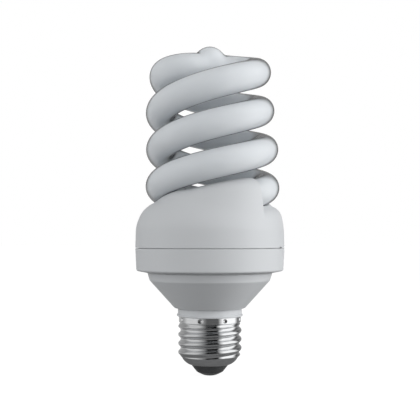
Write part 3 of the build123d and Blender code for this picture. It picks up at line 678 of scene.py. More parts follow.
@dataclass(frozen=True)
class SpiralTube:
    """The sealed discharge tube with its pump tip, in millimetres."""

    coil: Coil = Coil()
    radius: float = 5.92
    tip_radius: float = 5.6
    tip_z: float = 136.1
    tip_blend: float = 3.0
    tip_dome: float = 11.0
    tip_slope: float = 0.8
    tip_round: float = 2.0
    tip_foot_round: float = 1.0
    tip_reach: float = 16.0
    tip_depth: float = 9.0
    ring: int = 56
    halvings: int = 26
    end_shares: tuple[float, float] = (0.0, 0.75)

    def axis_x(self) -> float:
        """Where the coil's axis comes out at its top."""
        return float(self.coil.leaned(np.array([[0.0, 0.0, self.coil.bridge_z]]))[0, 0])

    def tip_field(self, points: np.ndarray, middle: np.ndarray) -> np.ndarray:
        """Signed distance to the tip: an upright stub about the axis with a domed head.

        Formula: the rounded larger of the distance beyond the stub's radius, the height above a
        paraboloid whose top is the tip's, and the depth below the tube's centre line.

        Args:
            points: Points whose last axis is x, y and z.
            middle: Point of the centre line under the tip.

        Returns:
            The field, which is negative inside the tip.
        """
        across = np.hypot(points[..., 0] - middle[0], points[..., 1] - middle[1])
        side = across - self.tip_radius
        crown = points[..., 2] - (self.tip_z - across**2 / self.tip_dome)
        head = smooth_max(side, crown * self.tip_slope, self.tip_round)
        return smooth_max(head, middle[2] - points[..., 2], self.tip_foot_round)

    def skin(self) -> np.ndarray:
        """Surface of the tube.

        Formula: around each point of the centre line, a ray square to the line ends where the
        rounded smaller of the bar's field and the tip's field is zero, found by halving.

        Returns:
            Grid of centre line points by ring points by 3.
        """
        line = self.coil.whole_line()
        along = np.gradient(line, axis=0)
        along /= np.linalg.norm(along, axis=1)[:, None]
        side = np.cross(along, [0, 0, 1])
        side /= np.linalg.norm(side, axis=1)[:, None]
        up = np.cross(side, along)
        angle = np.linspace(0, 2 * np.pi, self.ring, endpoint=False)[None, :, None]
        rays = np.cos(angle) * side[:, None] + np.sin(angle) * up[:, None]
        middle = line[np.argmin(np.hypot(line[:, 0] - self.axis_x(), line[:, 1]))]

        def at(distance: np.ndarray) -> np.ndarray:
            """Field at a distance along each ray."""
            points = line[:, None] + rays * distance[..., None]
            return smooth_min(distance - self.radius, self.tip_field(points, middle), self.tip_blend)

        shape = rays.shape[:2]
        low = halved(at, np.zeros(shape), np.full(shape, self.tip_reach), self.halvings)[0]
        near = np.hypot(line[:, 0] - middle[0], line[:, 1] - middle[1]) < self.tip_reach
        top = np.abs(line[:, 2] - middle[2]) < self.tip_depth
        reach = np.where((near & top)[:, None], low, self.radius)
        return line[:, None] + rays * reach[..., None]

    def build(self, material: bpy.types.Material) -> None:
        """Builds the tube with closed ends.

        Args:
            material: The coated glass.
        """
        skin = self.skin()
        start, end = skin[0].mean(0), skin[-1].mean(0)
        piece = Piece("spiral_glass_tube", "tube_glass", ("spiral_tube",))
        first = np.stack([start + (skin[0] - start) * share for share in self.end_shares])
        last = np.stack([end + (skin[-1] - end) * share for share in self.end_shares[::-1]])
        piece.add_grid(np.concatenate([first, skin, last]), close_columns=True)
        piece.finish(material)


# The tube cover


@dataclass(frozen=True)
class TubeCover:
    """Upper half of the case: turned dome, two helical hoods and the tongue, in millimetres."""

    coil: Coil = Coil()
    foot: tuple[float, float] = (30.8, 52.85)
    shoulder: tuple[float, float] = (30.5, 64.3)
    deck: tuple[float, float] = (24.2, 71.0)
    shoulder_blend: float = 3.4
    deck_blend: float = 1.8
    mouth_turn: float = -45.5
    channel_radius: float = 6.07
    hood_radius: float = 6.82
    hood_slope: float = 26.9
    hood_ease: float = 13.0
    hood_foot: tuple[float, float] = (30.6, 62.0)
    hood_blend: float = 1.6
    hood_hollow_end: float = 6.5
    groove_blend: float = 0.35
    hood_swell: float = 1.7
    swell_turns: tuple[float, float] = (-110.0, -175.0)
    saddle: float = 0.9
    saddle_turns: tuple[float, float] = (-112.0, -136.0)
    rim_round: float = 0.3
    recess: float = 1.2
    wall: float = 1.4
    eye: tuple[float, float] = (22.0, 60.0)
    stations: int = 150
    station_ease: float = 0.055
    side_rays: int = 62
    mouth_rays: int = 60
    mouth_samples: int = 721
    deck_rays: int = 34
    search_step: float = 0.25
    search_reach: float = 40.0
    halvings: int = 14
    inner_every: int = 3
    back_turn: float = 2.0
    notch: tuple[float, float, float] = (-22.6, 3.2, 0.35)

    def cone(
        self, low: tuple[float, float], high: tuple[float, float], radius: np.ndarray, z: np.ndarray
    ) -> np.ndarray:
        """Distance outside the cone through two outline points."""
        run, rise = high[0] - low[0], high[1] - low[1]
        return ((radius - low[0]) * rise - (z - low[1]) * run) / math.hypot(run, rise)

    def hood_field(self, radius: np.ndarray, z: np.ndarray, turn: np.ndarray) -> np.ndarray:
        """Distance beyond a hood's section: an arch, an upright inner wall and a slanted flank.

        Formula: the crown falls from the mouth by slope times turn squared over turn plus ease, and
        is a little higher where the next leg is saddled on it. Between its two walls the field is
        the distance to the arch's centre, less its radius. The flank is flat at the mouth and
        swells towards the tail.

        Args:
            radius: Distance from the coil's axis.
            z: Height.
            turn: Turn of the section, in degrees.

        Returns:
            The field, which is negative inside the hood.
        """
        back = np.maximum(self.mouth_turn - turn, 0)
        mouth_z = float(self.coil.leg_height(np.array(self.coil.side_turn + self.mouth_turn)))
        first, last = self.saddle_turns
        share = np.clip((first - turn) / (first - last), 0, 1)
        lift = self.saddle * share**2 * (3 - 2 * share)
        centre_z = mouth_z - self.hood_slope / 360 * back**2 / (back + self.hood_ease) + lift
        centre_r = self.coil.leg_radius(self.coil.side_turn + turn)
        down_r, down_z = self.hood_foot[0] - centre_r, self.hood_foot[1] - centre_z
        reach = np.maximum(np.hypot(down_r, down_z), self.hood_radius + 0.01)
        touch = np.arctan2(down_z, down_r) + np.arccos(self.hood_radius / reach)
        x, y = radius - centre_r, z - centre_z
        flank = x * np.cos(touch) + y * np.sin(touch) - self.hood_radius
        down = (x * np.sin(touch) - y * np.cos(touch)) / np.sqrt(reach**2 - self.hood_radius**2)
        first, last = self.swell_turns
        tail = np.clip((first - turn) / (first - last), 0, 1)
        flank = flank - self.hood_swell * tail * 4 * np.clip(down * (1 - down), 0, 0.25)
        walls = np.maximum(flank, -x - self.hood_radius)
        angle = np.arctan2(y, x)
        return np.where((angle > touch) & (y > 0), np.hypot(x, y) - self.hood_radius, walls)

    def channel_field(self, radius: np.ndarray, z: np.ndarray, turn: np.ndarray) -> np.ndarray:
        """Distance beyond a leg's channel.

        Formula: the section is upright, so its height counts by the cosine of the leg's slope.

        Args:
            radius: Distance from the coil's axis.
            z: Height.
            turn: Turn of the section, in degrees.

        Returns:
            The field, which is negative inside the channel.
        """
        whole = self.coil.side_turn + turn
        flat = math.cos(math.atan(self.coil.slope(self.coil.side_turn + self.mouth_turn)))
        drop = (z - self.coil.leg_height(whole)) * flat
        return np.hypot(radius - self.coil.leg_radius(whole), drop) - self.channel_radius

    def field(
        self, station: np.ndarray, side: int, radius: np.ndarray, z: np.ndarray, inset: float
    ) -> np.ndarray:
        """Distance beyond the cover, seen from the coil's axis on one hood's side.

        Args:
            station: Turn of the station, in degrees.
            side: 1 for the front hood, -1 for the rear one.
            radius: Distance from the coil's axis.
            z: Height.
            inset: How far inside the outer surface the wanted surface lies.

        Returns:
            The field, which is zero on the wanted surface.
        """
        angle = np.radians(station)
        x = radius * np.cos(angle) + side * self.coil.shift
        wide = np.hypot(x, radius * np.sin(angle))
        deck = smooth_max(self.cone(self.shoulder, self.deck, wide, z), z - self.deck[1], self.deck_blend)
        closed = station < self.mouth_turn - (self.hood_hollow_end if inset else 0)
        hooded = smooth_min(deck, self.hood_field(radius, z, station), self.hood_blend)
        upper = np.where(closed | (inset == 0), hooded, deck)
        solid = smooth_max(upper, self.cone(self.foot, self.shoulder, wide, z), self.shoulder_blend)
        groove = -self.channel_field(radius, z, station + 180)
        return smooth_max(solid, groove, self.groove_blend) + inset

    def ray_angles(self, station: np.ndarray, side: int) -> np.ndarray:
        """Angles of the rays from the eye at each station.

        The first ray meets the foot's edge, the last the deck above the coil's axis, and two more
        breaks lie where the rays touch the mouth's channel.

        Args:
            station: Turns of the stations.
            side: 1 for the front hood, -1 for the rear one.

        Returns:
            Angles, stations by rays.
        """
        offset = side * self.coil.shift
        turn = np.radians(station)
        reach = -offset * np.cos(turn) + np.sqrt(self.foot[0] ** 2 - (offset * np.sin(turn)) ** 2)
        foot = np.arctan2(self.foot[1] - self.eye[1], reach - self.eye[0])[:, None]
        pole = math.atan2(self.deck[1] - self.eye[1], -self.eye[0])
        angle = np.linspace(0, 2 * np.pi, self.mouth_samples)
        mouth = self.coil.side_turn + self.mouth_turn
        flat = math.cos(math.atan(self.coil.slope(mouth)))
        r = float(self.coil.leg_radius(np.array(mouth))) + self.channel_radius * np.cos(angle)
        z = float(self.coil.leg_height(np.array(mouth))) + self.channel_radius / flat * np.sin(angle)
        seen = np.arctan2(z - self.eye[1], r - self.eye[0])
        low, high = seen.min(), seen.max()
        first = foot + (low - foot) * np.linspace(0, 1, self.side_rays, endpoint=False)
        rest = np.concatenate([
            np.linspace(low, high, self.mouth_rays, endpoint=False), np.linspace(high, pole, self.deck_rays),
        ])
        return np.concatenate([first, np.broadcast_to(rest, (len(station), len(rest)))], axis=1)

    def shell_line(self, station: np.ndarray, side: int, rays: np.ndarray, inset: float) -> np.ndarray:
        """Where rays from the eye first leave the cover at each station.

        Formula: the field is sampled along every ray, and the first change of sign is refined by
        halving.

        Args:
            station: Turns of the stations.
            side: 1 for the front hood, -1 for the rear one.
            rays: Angles of the rays.
            inset: How far inside the outer surface the wanted surface lies.

        Returns:
            Distances, stations by rays.
        """
        def at(distance: np.ndarray) -> np.ndarray:
            """Field at a distance along each ray."""
            radius = np.maximum(self.eye[0] + distance * np.cos(rays), 1e-6)
            z = self.eye[1] + distance * np.sin(rays)
            return self.field(station[:, None] + np.zeros_like(distance), side, radius, z, inset)

        shape = rays.shape
        low, found = np.zeros(shape), np.zeros(shape, bool)
        to_axis = -self.eye[0] / np.minimum(np.cos(rays), -1e-9)
        longest = np.where(np.cos(rays) < 0, to_axis, self.search_reach)
        for index in range(1, int(self.search_reach / self.search_step)):
            distance = np.minimum(np.full(shape, index * self.search_step), longest)
            found |= at(distance) > 0
            low = np.where(found, low, distance)
        low, high = halved(at, low, np.minimum(low + self.search_step, longest), self.halvings)
        return (low + high) / 2

    def place(self, station: np.ndarray, side: int, radius: np.ndarray, z: np.ndarray) -> np.ndarray:
        """Points in the lamp's frame of points in stations, which broadcast together.

        Args:
            station: Turns of the stations.
            side: 1 for the front hood, -1 for the rear one.
            radius: Distance from the coil's axis.
            z: Height.

        Returns:
            The points, whose last axis is x, y and z.
        """
        turn = np.radians(station)
        x = side * radius * np.cos(turn) + self.coil.shift
        y = side * radius * np.sin(turn)
        return np.stack([x, y, z + np.zeros_like(x)], -1)

    def segment(self, side: int, inset: float, every: int = 1) -> tuple[np.ndarray, np.ndarray]:
        """Grid of one hood's half of the cover, from behind the other mouth to its own.

        Args:
            side: 1 for the front hood, -1 for the rear one.
            inset: How far inside the outer surface the grid lies.
            every: Share of the rays that is kept.

        Returns:
            Points, stations by rays by 3, and the rays' angles.
        """
        share = np.linspace(0, 1, self.stations)
        ease = share - self.station_ease * np.sin(2 * np.pi * share)
        station = self.mouth_turn - 180 + 180 * ease
        rays = self.ray_angles(station, side)[:, ::every]
        distance = self.shell_line(station, side, rays, inset)
        radius = self.eye[0] + distance * np.cos(rays)
        return self.place(station[:, None], side, radius, self.eye[1] + distance * np.sin(rays)), rays

    def mouth(self, side: int, rays: np.ndarray, edge: np.ndarray, beyond: np.ndarray) -> np.ndarray:
        """Columns of a hood's mouth: rim, channel ceiling, its back, its floor.

        Args:
            side: 1 for the front hood, -1 for the rear one.
            rays: Angles of the rays.
            edge: The hood's last outer column.
            beyond: The cover's first column past the mouth.

        Returns:
            Grid of columns by rays by 3.
        """
        turn = self.coil.side_turn + self.mouth_turn
        flat = math.cos(math.atan(self.coil.slope(turn)))
        centre = np.array([
            float(self.coil.leg_radius(np.array(turn))) - self.eye[0],
            (float(self.coil.leg_height(np.array(turn))) - self.eye[1]) * flat,
        ])
        way = np.stack([np.cos(rays), np.sin(rays) * flat], 1)
        size = (way**2).sum(1)
        along = way @ centre / size
        spare = along**2 - (centre @ centre - self.channel_radius**2) / size
        hit = spare > 0
        half = np.sqrt(np.maximum(spare, 0))
        here = np.array(self.mouth_turn)

        def column(distance: np.ndarray) -> np.ndarray:
            """Points at a distance along each ray in the mouth's plane."""
            return self.place(
                here, side, self.eye[0] + distance * np.cos(rays), self.eye[1] + distance * np.sin(rays)
            )

        axis_now, axis_back = (
            self.place(here + shift, side, centre[0] + self.eye[0], self.coil.leg_height(turn + shift))
            for shift in (0.0, -self.back_turn)
        )
        inward = (axis_back - axis_now) / np.linalg.norm(axis_back - axis_now) * self.recess
        ceiling = np.where(hit[:, None], column(along + half), beyond)
        floor = np.where(hit[:, None], column(along - half), beyond)
        push = np.where(hit[:, None], inward, 0)
        to_middle = axis_now - edge
        length = np.linalg.norm(to_middle, axis=1)[:, None]
        apart = np.linalg.norm(edge - beyond, axis=1)[:, None] > 2 * self.rim_round
        rim = np.where(apart, edge + to_middle / length * self.rim_round, edge)
        back = np.where(apart, edge + inward / self.recess * self.rim_round, edge)
        return np.stack([back, rim, ceiling, ceiling + push, floor + push, floor])

    def build(self, material: bpy.types.Material) -> None:
        """Builds the cover as one closed skin, outer columns first and the hollow inside.

        Args:
            material: The white plastic.
        """
        outer = {side: self.segment(side, 0.0) for side in (-1, 1)}
        inner = {side: self.segment(side, self.wall, self.inner_every)[0] for side in (-1, 1)}
        columns, hollow = [], []
        for side in (-1, 1):
            grid, rays = outer[side]
            mouth = self.mouth(side, rays[-1], grid[-1], outer[-side][0][0])
            columns += [grid[:-1], mouth]
            hollow += [inner[side][:-1], np.repeat(inner[side][-1:], len(mouth), 0)]
        skin, inside = self.notched(np.concatenate(columns)), np.concatenate(hollow)
        whole = np.concatenate([skin[:, ::-1], self.foot_band(skin), inside], axis=1)
        piece = Piece("hooded_tube_cover", "white_plastic", ("tube_cover",))
        piece.add_grid(whole, close_rows=True)
        piece.finish(material, COVER_SHARP_ANGLE)

    def notched(self, skin: np.ndarray) -> np.ndarray:
        """Lifts the foot's edge at the two slots where a blade opens the case.

        Args:
            skin: The outer surface, whose first ray ends on the foot's edge.

        Returns:
            The outer surface with its slots.
        """
        turn, width, height = self.notch
        angle = np.degrees(np.arctan2(skin[:, 0, 1], skin[:, 0, 0]))
        away = np.minimum(np.abs((angle - turn + 180) % 360 - 180), np.abs((angle - turn) % 360 - 180))
        reach = width / 2 / math.radians(1) / self.foot[0]
        lift = height * (np.abs(away) < reach)
        moved = skin.copy()
        moved[:, 0, 2] += lift
        return moved

    def foot_band(self, skin: np.ndarray) -> np.ndarray:
        """Rows from the cover's foot round the tongue, at the same turns as the skin's columns.

        Args:
            skin: The outer surface, whose first ray ends on the foot's edge.

        Returns:
            Grid of the skin's columns by outline points by 3.
        """
        profile = rounded_profile([
            (30.8, 52.85, 0), (29.1, 52.85, 0), (29.1, 51.0, 0.1), (29.45, 50.5, 0.25), (29.1, 50.0, 0.1),
            (29.1, 49.2, 0.25), (27.9, 49.2, 0.25), (27.9, 53.6, 0),
        ], 4)[1:]
        angle = np.arctan2(skin[:, 0, 1], skin[:, 0, 0])[:, None]
        radius, z = profile[:, 0][None], profile[:, 1][None]
        return np.stack([radius * np.cos(angle), radius * np.sin(angle), z + np.zeros_like(angle)], -1)


# The ballast housing


@dataclass(frozen=True)
class BallastHousing:
    """Lower half of the case: neck, collar, cone, shelf and body, in millimetres."""

    columns: int = 240
    spacing: float = 0.9

    def profile(self) -> np.ndarray:
        """Closed outline from the neck's foot up the outside and down the hollow.

        Returns:
            Radius and height of each point.
        """
        corners = [
            (9.9, 10.6, 0), (11.7, 10.6, 0.2), (11.7, 22.3, 0), (12.25, 22.8, 0), (12.25, 24.6, 0),
            (13.65, 24.6, 0.25), (13.65, 25.4, 0.25), (13.27, 25.5, 0.1), (13.27, 27.9, 0.15),
            (14.7, 28.0, 0.3), (24.95, 39.4, 1.5), (25.85, 42.5, 0.5), (30.4, 43.4, 0.9),
            (30.8, 52.6, 0.2), (29.2, 52.6, 0.15), (29.2, 45.0, 0.3), (25.7, 44.1, 0), (23.4, 44.1, 0.3),
            (22.3, 39.4, 0), (11.4, 28.4, 1.0), (10.0, 26.8, 0.5), (9.9, 10.6, 0),
        ]
        return refined(rounded_profile(corners), self.spacing)[:-1]

    def build(self, material: bpy.types.Material) -> None:
        """Builds the housing as a turned wall.

        Args:
            material: The white plastic.
        """
        piece = Piece("ballast_housing_shell", "white_plastic", ("ballast_housing",))
        piece.add_grid(turned_grid(self.profile(), self.columns), close_rows=True, close_columns=True)
        piece.finish(material)


# The screw cap


@dataclass(frozen=True)
class ScrewCap:
    """Nickel-plated screw shell with its rolled thread and punched band, in millimetres."""

    root_radius: float = 12.15
    crest_radius: float = 13.15
    pitch: float = 3.629
    start_z: float = 7.81
    foot_z: float = 9.3
    top_z: float = 21.7
    lead_in: float = 1.3
    band_radius: float = 12.85
    band_z: float = 22.2
    band_top_z: float = 24.5
    band_lead: float = 0.5
    band_round: float = 0.25
    band_spacing: float = 0.16
    curl_points: tuple[tuple[float, float], ...] = ((8.1, 4.55), (10.75, 6.25), (12.15, 9.3))
    curl_rows: int = 22
    thread_rows: int = 112
    band_overlap: int = 5
    wall: float = 0.35
    foot_lift: float = 0.6
    punches: int = 8
    punch_radius: float = 0.95
    punch_depth: float = 0.55
    punch_start: float = -62.0
    punch_z: float = 23.35
    punch_squash: float = 1.1
    punch_edge: float = 0.8
    columns: int = 320

    def curl(self) -> np.ndarray:
        """Arc of the curled foot through its foot, knee and top.

        Formula: the circle's centre is as far from the foot as from the knee and the top, which
        gives two linear equations.

        Returns:
            Radius and height of each point.
        """
        foot, knee, top = (np.array(point) for point in self.curl_points)
        rows = np.array([2 * (knee - foot), 2 * (top - foot)])
        centre = np.linalg.solve(rows, [knee @ knee - foot @ foot, top @ top - foot @ foot])
        first, last = (math.atan2(*(point - centre)[::-1]) for point in (foot, top))
        angle = np.linspace(first, last, self.curl_rows)
        radius = np.linalg.norm(foot - centre)
        return centre + radius * np.stack([np.cos(angle), np.sin(angle)], 1)

    def ridge(self, z: np.ndarray, turn: np.ndarray) -> np.ndarray:
        """Radius of the rolled thread.

        Formula: the height from the nearest crest, which climbs one pitch each turn, gives equal
        arcs for crest and root that meet halfway up.

        Args:
            z: Height.
            turn: Turn round the axis, in radians.

        Returns:
            The radius at each place.
        """
        half = self.pitch / 2
        depth = self.crest_radius - self.root_radius
        arc = (half**2 + depth**2) / (4 * depth)
        from_crest = np.abs((z - self.start_z - self.pitch * turn / (2 * np.pi) + half) % self.pitch - half)
        crest = self.crest_radius - arc + np.sqrt(np.maximum(arc**2 - from_crest**2, 0))
        root = self.root_radius + arc - np.sqrt(np.maximum(arc**2 - (half - from_crest) ** 2, 0))
        return np.where(from_crest < half / 2, crest, root)

    def radius(self, base: np.ndarray, z: np.ndarray, turn: np.ndarray) -> np.ndarray:
        """Radius of the shell: the plain wall, the thread where it runs, and the punched dents.

        Formula: the thread is capped by a straight lead in and lead out, and a dent's depth falls
        from its middle to its rim as one minus the square of the distance, to a power.

        Args:
            base: Radius of the plain wall.
            z: Height.
            turn: Turn round the axis, in radians.

        Returns:
            The radius at each place.
        """
        low, high = self.foot_z - self.lead_in, self.band_z
        rise = (self.crest_radius - self.root_radius) / self.lead_in
        lead_out = (high - z) * self.lead_in / (high - self.top_z + self.lead_in)
        room = self.root_radius + rise * np.minimum(z - low, lead_out)
        thread = np.minimum(self.ridge(z, turn), room)
        wall = np.where((z > low) & (z < high), np.maximum(base, thread), base)
        spacing = 2 * np.pi / self.punches
        away = (turn - math.radians(self.punch_start) + spacing / 2) % spacing - spacing / 2
        gap = np.hypot(away * self.band_radius, (z - self.punch_z) * self.punch_squash)
        dent = self.punch_depth * np.clip(1 - (gap / self.punch_radius) ** 2, 0, 1) ** self.punch_edge
        return wall - np.where(z > self.band_z, dent, 0)

    def build(self, material: bpy.types.Material) -> None:
        """Builds the shell with its outer and inner sides as one closed skin.

        Args:
            material: The nickel plate.
        """
        thread_z = np.linspace(self.foot_z, self.band_z, self.thread_rows)[1:]
        thread = np.stack([np.full_like(thread_z, self.root_radius), thread_z], 1)[:-self.band_overlap]
        band = rounded_profile([
            (self.root_radius, self.band_z - self.band_lead, 0),
            (self.band_radius, self.band_z, self.band_round), (self.band_radius, self.band_top_z, 0),
        ], 6)
        plain = np.concatenate([self.curl(), thread, refined(band, self.band_spacing)[1:]])
        turn = np.linspace(0, 2 * np.pi, self.columns, endpoint=False)[None]
        z = plain[:, 1:] + np.zeros_like(turn)
        outside = self.radius(plain[:, :1] + np.zeros_like(turn), z, turn)
        inside = outside - self.wall
        inner_z = z + np.where(z < self.foot_z, self.wall * self.foot_lift, 0)
        both = np.concatenate([outside, inside[::-1]])
        heights = np.concatenate([z, inner_z[::-1]])
        grid = np.stack([both * np.cos(turn), both * np.sin(turn), heights], -1)
        piece = Piece("threaded_cap_shell", "nickel_plate", ("screw_shell",))
        piece.add_grid(grid, close_rows=True, close_columns=True)
        piece.finish(material, CAP_SHARP_ANGLE)


@dataclass(frozen=True)
class CapFoot:
    """Black glass insulator and the centre contact, in millimetres."""

    columns: int = 120
    glass_spacing: float = 0.6
    metal_spacing: float = 0.4

    def build(self, glass: bpy.types.Material, metal: bpy.types.Material) -> None:
        """Builds both turned pieces.

        Args:
            glass: The insulator's finish.
            metal: The contact's finish.
        """
        insulator = [
            (1.4, 1.6, 0), (5.5, 1.6, 0.25), (7.8, 4.5, 0.35), (7.95, 5.2, 0.2), (9.9, 6.6, 0.5),
            (10.6, 8.0, 0.2), (1.4, 8.0, 0), (1.4, 1.6, 0),
        ]
        piece = Piece("black_glass_insulator", "black_glass", ("cap_insulator",))
        profile = refined(rounded_profile(insulator), self.glass_spacing)[:-1]
        piece.add_grid(turned_grid(profile, self.columns), close_rows=True, close_columns=True)
        piece.finish(glass)
        contact = [
            (0, 0, 0), (2.3, 0, 5.5), (5.1, 1.35, 0.3), (5.1, 1.6, 0.1), (1.3, 1.6, 0), (1.3, 8.0, 0),
            (2.6, 8.0, 0.1), (1.3, 9.0, 0.1), (0.7, 9.0, 0), (0.7, 1.9, 0), (0, 1.9, 0),
        ]
        piece = Piece("domed_centre_contact", "contact_metal", ("centre_contact",))
        profile = refined(rounded_profile(contact), self.metal_spacing)
        piece.add_grid(turned_grid(profile, self.columns), close_columns=True)
        piece.finish(metal)


# Studio


@dataclass(frozen=True)
class Lamp:
    """A soft studio light."""

    name: str
    place: tuple[float, float, float]
    size: tuple[float, float]
    power: float

    def build(self) -> None:
        """Puts the light in place, facing the lamp's middle."""
        data = bpy.data.lights.new(self.name, "AREA")
        data.shape = "RECTANGLE"
        data.size, data.size_y = self.size
        data.energy = self.power
        made = bpy.data.objects.new(self.name, data)
        made.location = self.place
        away = np.array(self.place) - np.array(AIM)
        yaw = math.atan2(away[0], -away[1])
        pitch = math.atan2(math.hypot(away[0], away[1]), away[2])
        made.rotation_euler = (pitch, 0, yaw)
        made.visible_glossy = False
        made.visible_camera = False
        bpy.context.scene.collection.objects.link(made)


@dataclass(frozen=True)
class Studio:
    """Camera, floor, lights and surroundings, in metres."""

    distance: float = 0.332
    eye_height: float = 0.0564
    focal_pixels: float = 800.0
    horizon_pixels: float = 29.0
    axis_pixels: float = 0.15
    backdrop: float = 0.93
    floor_tone: float = 0.18
    # painted shadow: the floor's glow to glossy rays close under the lamp, and the distances over which it
    # fades to the panels
    painted_shadow_tone: float = 0.09
    painted_shadow_reach: tuple[float, float] = (0.018, 0.065)
    floor_half: float = 6.0
    ambient: float = 0.82
    ambient_top: float = 0.34
    ambient_warmth: float = -0.01
    lamps: tuple[Lamp, ...] = (
        Lamp("key_right", (0.69, -0.20, 0.14), (0.50, 0.60), 5.8),
        Lamp("fill_left", (-0.60, -0.20, 0.12), (0.35, 0.60), 1.95),
        Lamp("front", (0.02, -0.60, 0.035), (0.40, 0.05), 0.62),
    )
    tones: tuple[tuple[float, float], ...] = (
        (-180, 0.5), (-110, 0.4), (-90, 0.8), (-50, 0.8), (-10, 0.0), (30, 0.0), (50, 1.5), (100, 1.5),
        (120, 0.1), (150, 0.3), (180, 0.5),
    )

    def camera(self) -> None:
        """Level camera at the photograph's distance and height."""
        data = bpy.data.cameras.new("camera")
        data.sensor_width = SENSOR
        data.lens = SENSOR * self.focal_pixels / IMAGE_SIZE
        data.shift_x = self.axis_pixels / IMAGE_SIZE
        data.shift_y = self.horizon_pixels / IMAGE_SIZE
        data.clip_start, data.clip_end = 0.01, 50
        made = bpy.data.objects.new("camera", data)
        made.location = (0, -self.distance, self.eye_height)
        made.rotation_euler = (math.pi / 2, 0, 0)
        bpy.context.scene.collection.objects.link(made)
        bpy.context.scene.camera = made

    def panels(self) -> bpy.types.NodeTree:
        """What metal and glass see of the room, by direction round the lamp.

        The tones are brightness by degrees from the camera: a pale room that is dark on the
        camera's side, with a dim panel on the left and a bright one on the right.

        Returns:
            The group, which takes a direction and gives a colour.
        """
        group = node_group("studio_panels", {"Direction": "NodeSocketVector"}, {"Colour": "NodeSocketColor"})
        graph = Graph(group)
        split = graph.add("SeparateXYZ")
        front = graph.add("Math", {1: -1.0}, operation="MULTIPLY")
        turn = graph.add("Math", operation="ARCTAN2")
        span = graph.add("MapRange", {"From Min": -math.pi, "From Max": math.pi})
        ramp = graph.add("ValToRGB")
        elements = ramp.color_ramp.elements
        for _ in self.tones[1:-1]:
            elements.new(0.5)
        for element, (degrees, value) in zip(elements, self.tones):
            element.position = (degrees + 180) / 360
            element.color = (value, value, value, 1)
        graph.link(
            (group.nodes["Inputs"], "Direction", split, 0), (split, "Y", front, 0), (split, "X", turn, 0),
            (front, 0, turn, 1), (turn, 0, span, "Value"), (span, "Result", ramp, "Fac"),
            (ramp, "Color", group.nodes["Outputs"], "Colour"),
        )
        return group

    def floor(self, panels: bpy.types.NodeTree) -> None:
        """Pale floor that shows white to the camera and keeps the object's shadow; to glossy rays it glows
        with the room's panels, darkened close under the lamp by painted shadow.

        Args:
            panels: The group that says what shiny surfaces see by direction.
        """
        data = bpy.data.meshes.new("floor")
        signs = ((-1, -1), (1, -1), (1, 1), (-1, 1))
        corners = [(x * self.floor_half, y * self.floor_half, 0) for x, y in signs]
        data.from_pydata(corners, [], [(0, 1, 2, 3)])
        made = bpy.data.objects.new("floor", data)
        bpy.context.scene.collection.objects.link(made)
        material = bpy.data.materials.new("pale_floor")
        material.use_nodes = True
        material.node_tree.nodes.clear()
        graph = Graph(material.node_tree)
        near, far = self.painted_shadow_reach
        cloth = graph.add("BsdfDiffuse", {"Color": (*grey(self.floor_tone), 1)})
        glow, path, place = graph.add("Emission"), graph.add("LightPath"), graph.add("TexCoord")
        around = graph.add("Group", node_tree=panels)
        away = graph.add("VectorMath", operation="LENGTH")
        spread = graph.add("MapRange", {"From Min": near, "From Max": far}, interpolation_type="SMOOTHSTEP")
        # painted shadow: the floor's glow to glossy rays is dark close under the lamp and fades out to the
        # room's panels
        under = graph.add("Mix", {"A": (*grey(self.painted_shadow_tone), 1)}, data_type="RGBA")
        white = graph.add("Mix", {"B": (*grey(self.backdrop), 1)}, data_type="RGBA")
        seen = graph.add("Math", operation="MAXIMUM")
        both, out = graph.add("AddShader"), graph.add("OutputMaterial")
        graph.link(
            (place, "Object", around, "Direction"), (place, "Object", away, 0),
            (away, "Value", spread, "Value"), (spread, "Result", under, "Factor"),
            (around, "Colour", under, "B"), (under, "Result", white, "A"),
            (path, "Is Camera Ray", white, "Factor"), (white, "Result", glow, "Color"),
            (path, "Is Camera Ray", seen, 0), (path, "Is Glossy Ray", seen, 1), (seen, 0, glow, "Strength"),
            (cloth, 0, both, 0), (glow, 0, both, 1), (both, 0, out, "Surface"),
        )
        data.materials.append(material)

    def surroundings(self, panels: bpy.types.NodeTree) -> None:
        """White to the camera, the room's panels to metal and glass, and an even light otherwise.

        Args:
            panels: The group that says what shiny surfaces see by direction.
        """
        world = bpy.data.worlds.new("studio")
        bpy.context.scene.world = world
        world.use_nodes = True
        world.node_tree.nodes.clear()
        graph = Graph(world.node_tree)
        place, path, height = graph.add("TexCoord"), graph.add("LightPath"), graph.add("SeparateXYZ")
        around = graph.add("Group", node_tree=panels)
        glossy = graph.add("Mix", data_type="RGBA")
        even = graph.add("Mix", {
            "A": (*grey(self.ambient, self.ambient_warmth), 1),
            "B": (*grey(self.ambient_top, self.ambient_warmth), 1),
        }, data_type="RGBA")
        camera = graph.add("Mix", {"B": (1, 1, 1, 1)}, data_type="RGBA")
        back, out = graph.add("Background"), graph.add("OutputWorld")
        graph.link(
            (place, "Generated", around, "Direction"), (place, "Generated", height, 0),
            (height, "Z", even, "Factor"), (even, "Result", glossy, "A"),
            (path, "Is Glossy Ray", glossy, "Factor"), (around, "Colour", glossy, "B"),
            (path, "Is Camera Ray", camera, "Factor"), (glossy, "Result", camera, "A"),
            (camera, "Result", back, "Color"), (back, 0, out, "Surface"),
        )

    def build(self) -> None:
        """Builds the whole studio."""
        panels = self.panels()
        self.camera()
        self.floor(panels)
        for lamp in self.lamps:
            lamp.build()
        self.surroundings(panels)
        bpy.context.scene.view_settings.view_transform = "Standard"


def dress_inner_parts(materials: dict[str, bpy.types.Material]) -> None:
    """Gives every CAD node that still shows the finish of its slot.

    Args:
        materials: Material of each slot.
    """
    for row in frame["record"]["subparts"]:
        node = frame["nodes"][row["node"]]
        if node.hide_render:
            continue
        node.data.materials.clear()
        node.data.materials.append(materials[row["material_slot"]])
        LOG.info("%s: %s", node.name, row["material_slot"])


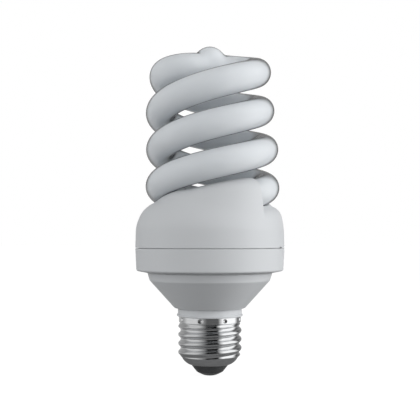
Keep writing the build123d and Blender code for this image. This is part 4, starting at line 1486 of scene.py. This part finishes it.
def main() -> None:
    """Builds the lamp and its studio."""
    logging.basicConfig(level=logging.INFO, format="%(name)s %(message)s")
    group = surface_group()
    materials = {slot: finish.material(group) for slot, finish in FINISHES.items()}
    SpiralTube().build(materials["tube_glass"])
    TubeCover().build(materials["white_plastic"])
    BallastHousing().build(materials["white_plastic"])
    ScrewCap().build(materials["nickel_plate"])
    CapFoot().build(materials["black_glass"], materials["contact_metal"])
    dress_inner_parts(materials)
    Studio().build()


if __name__ == "__main__":
    main()
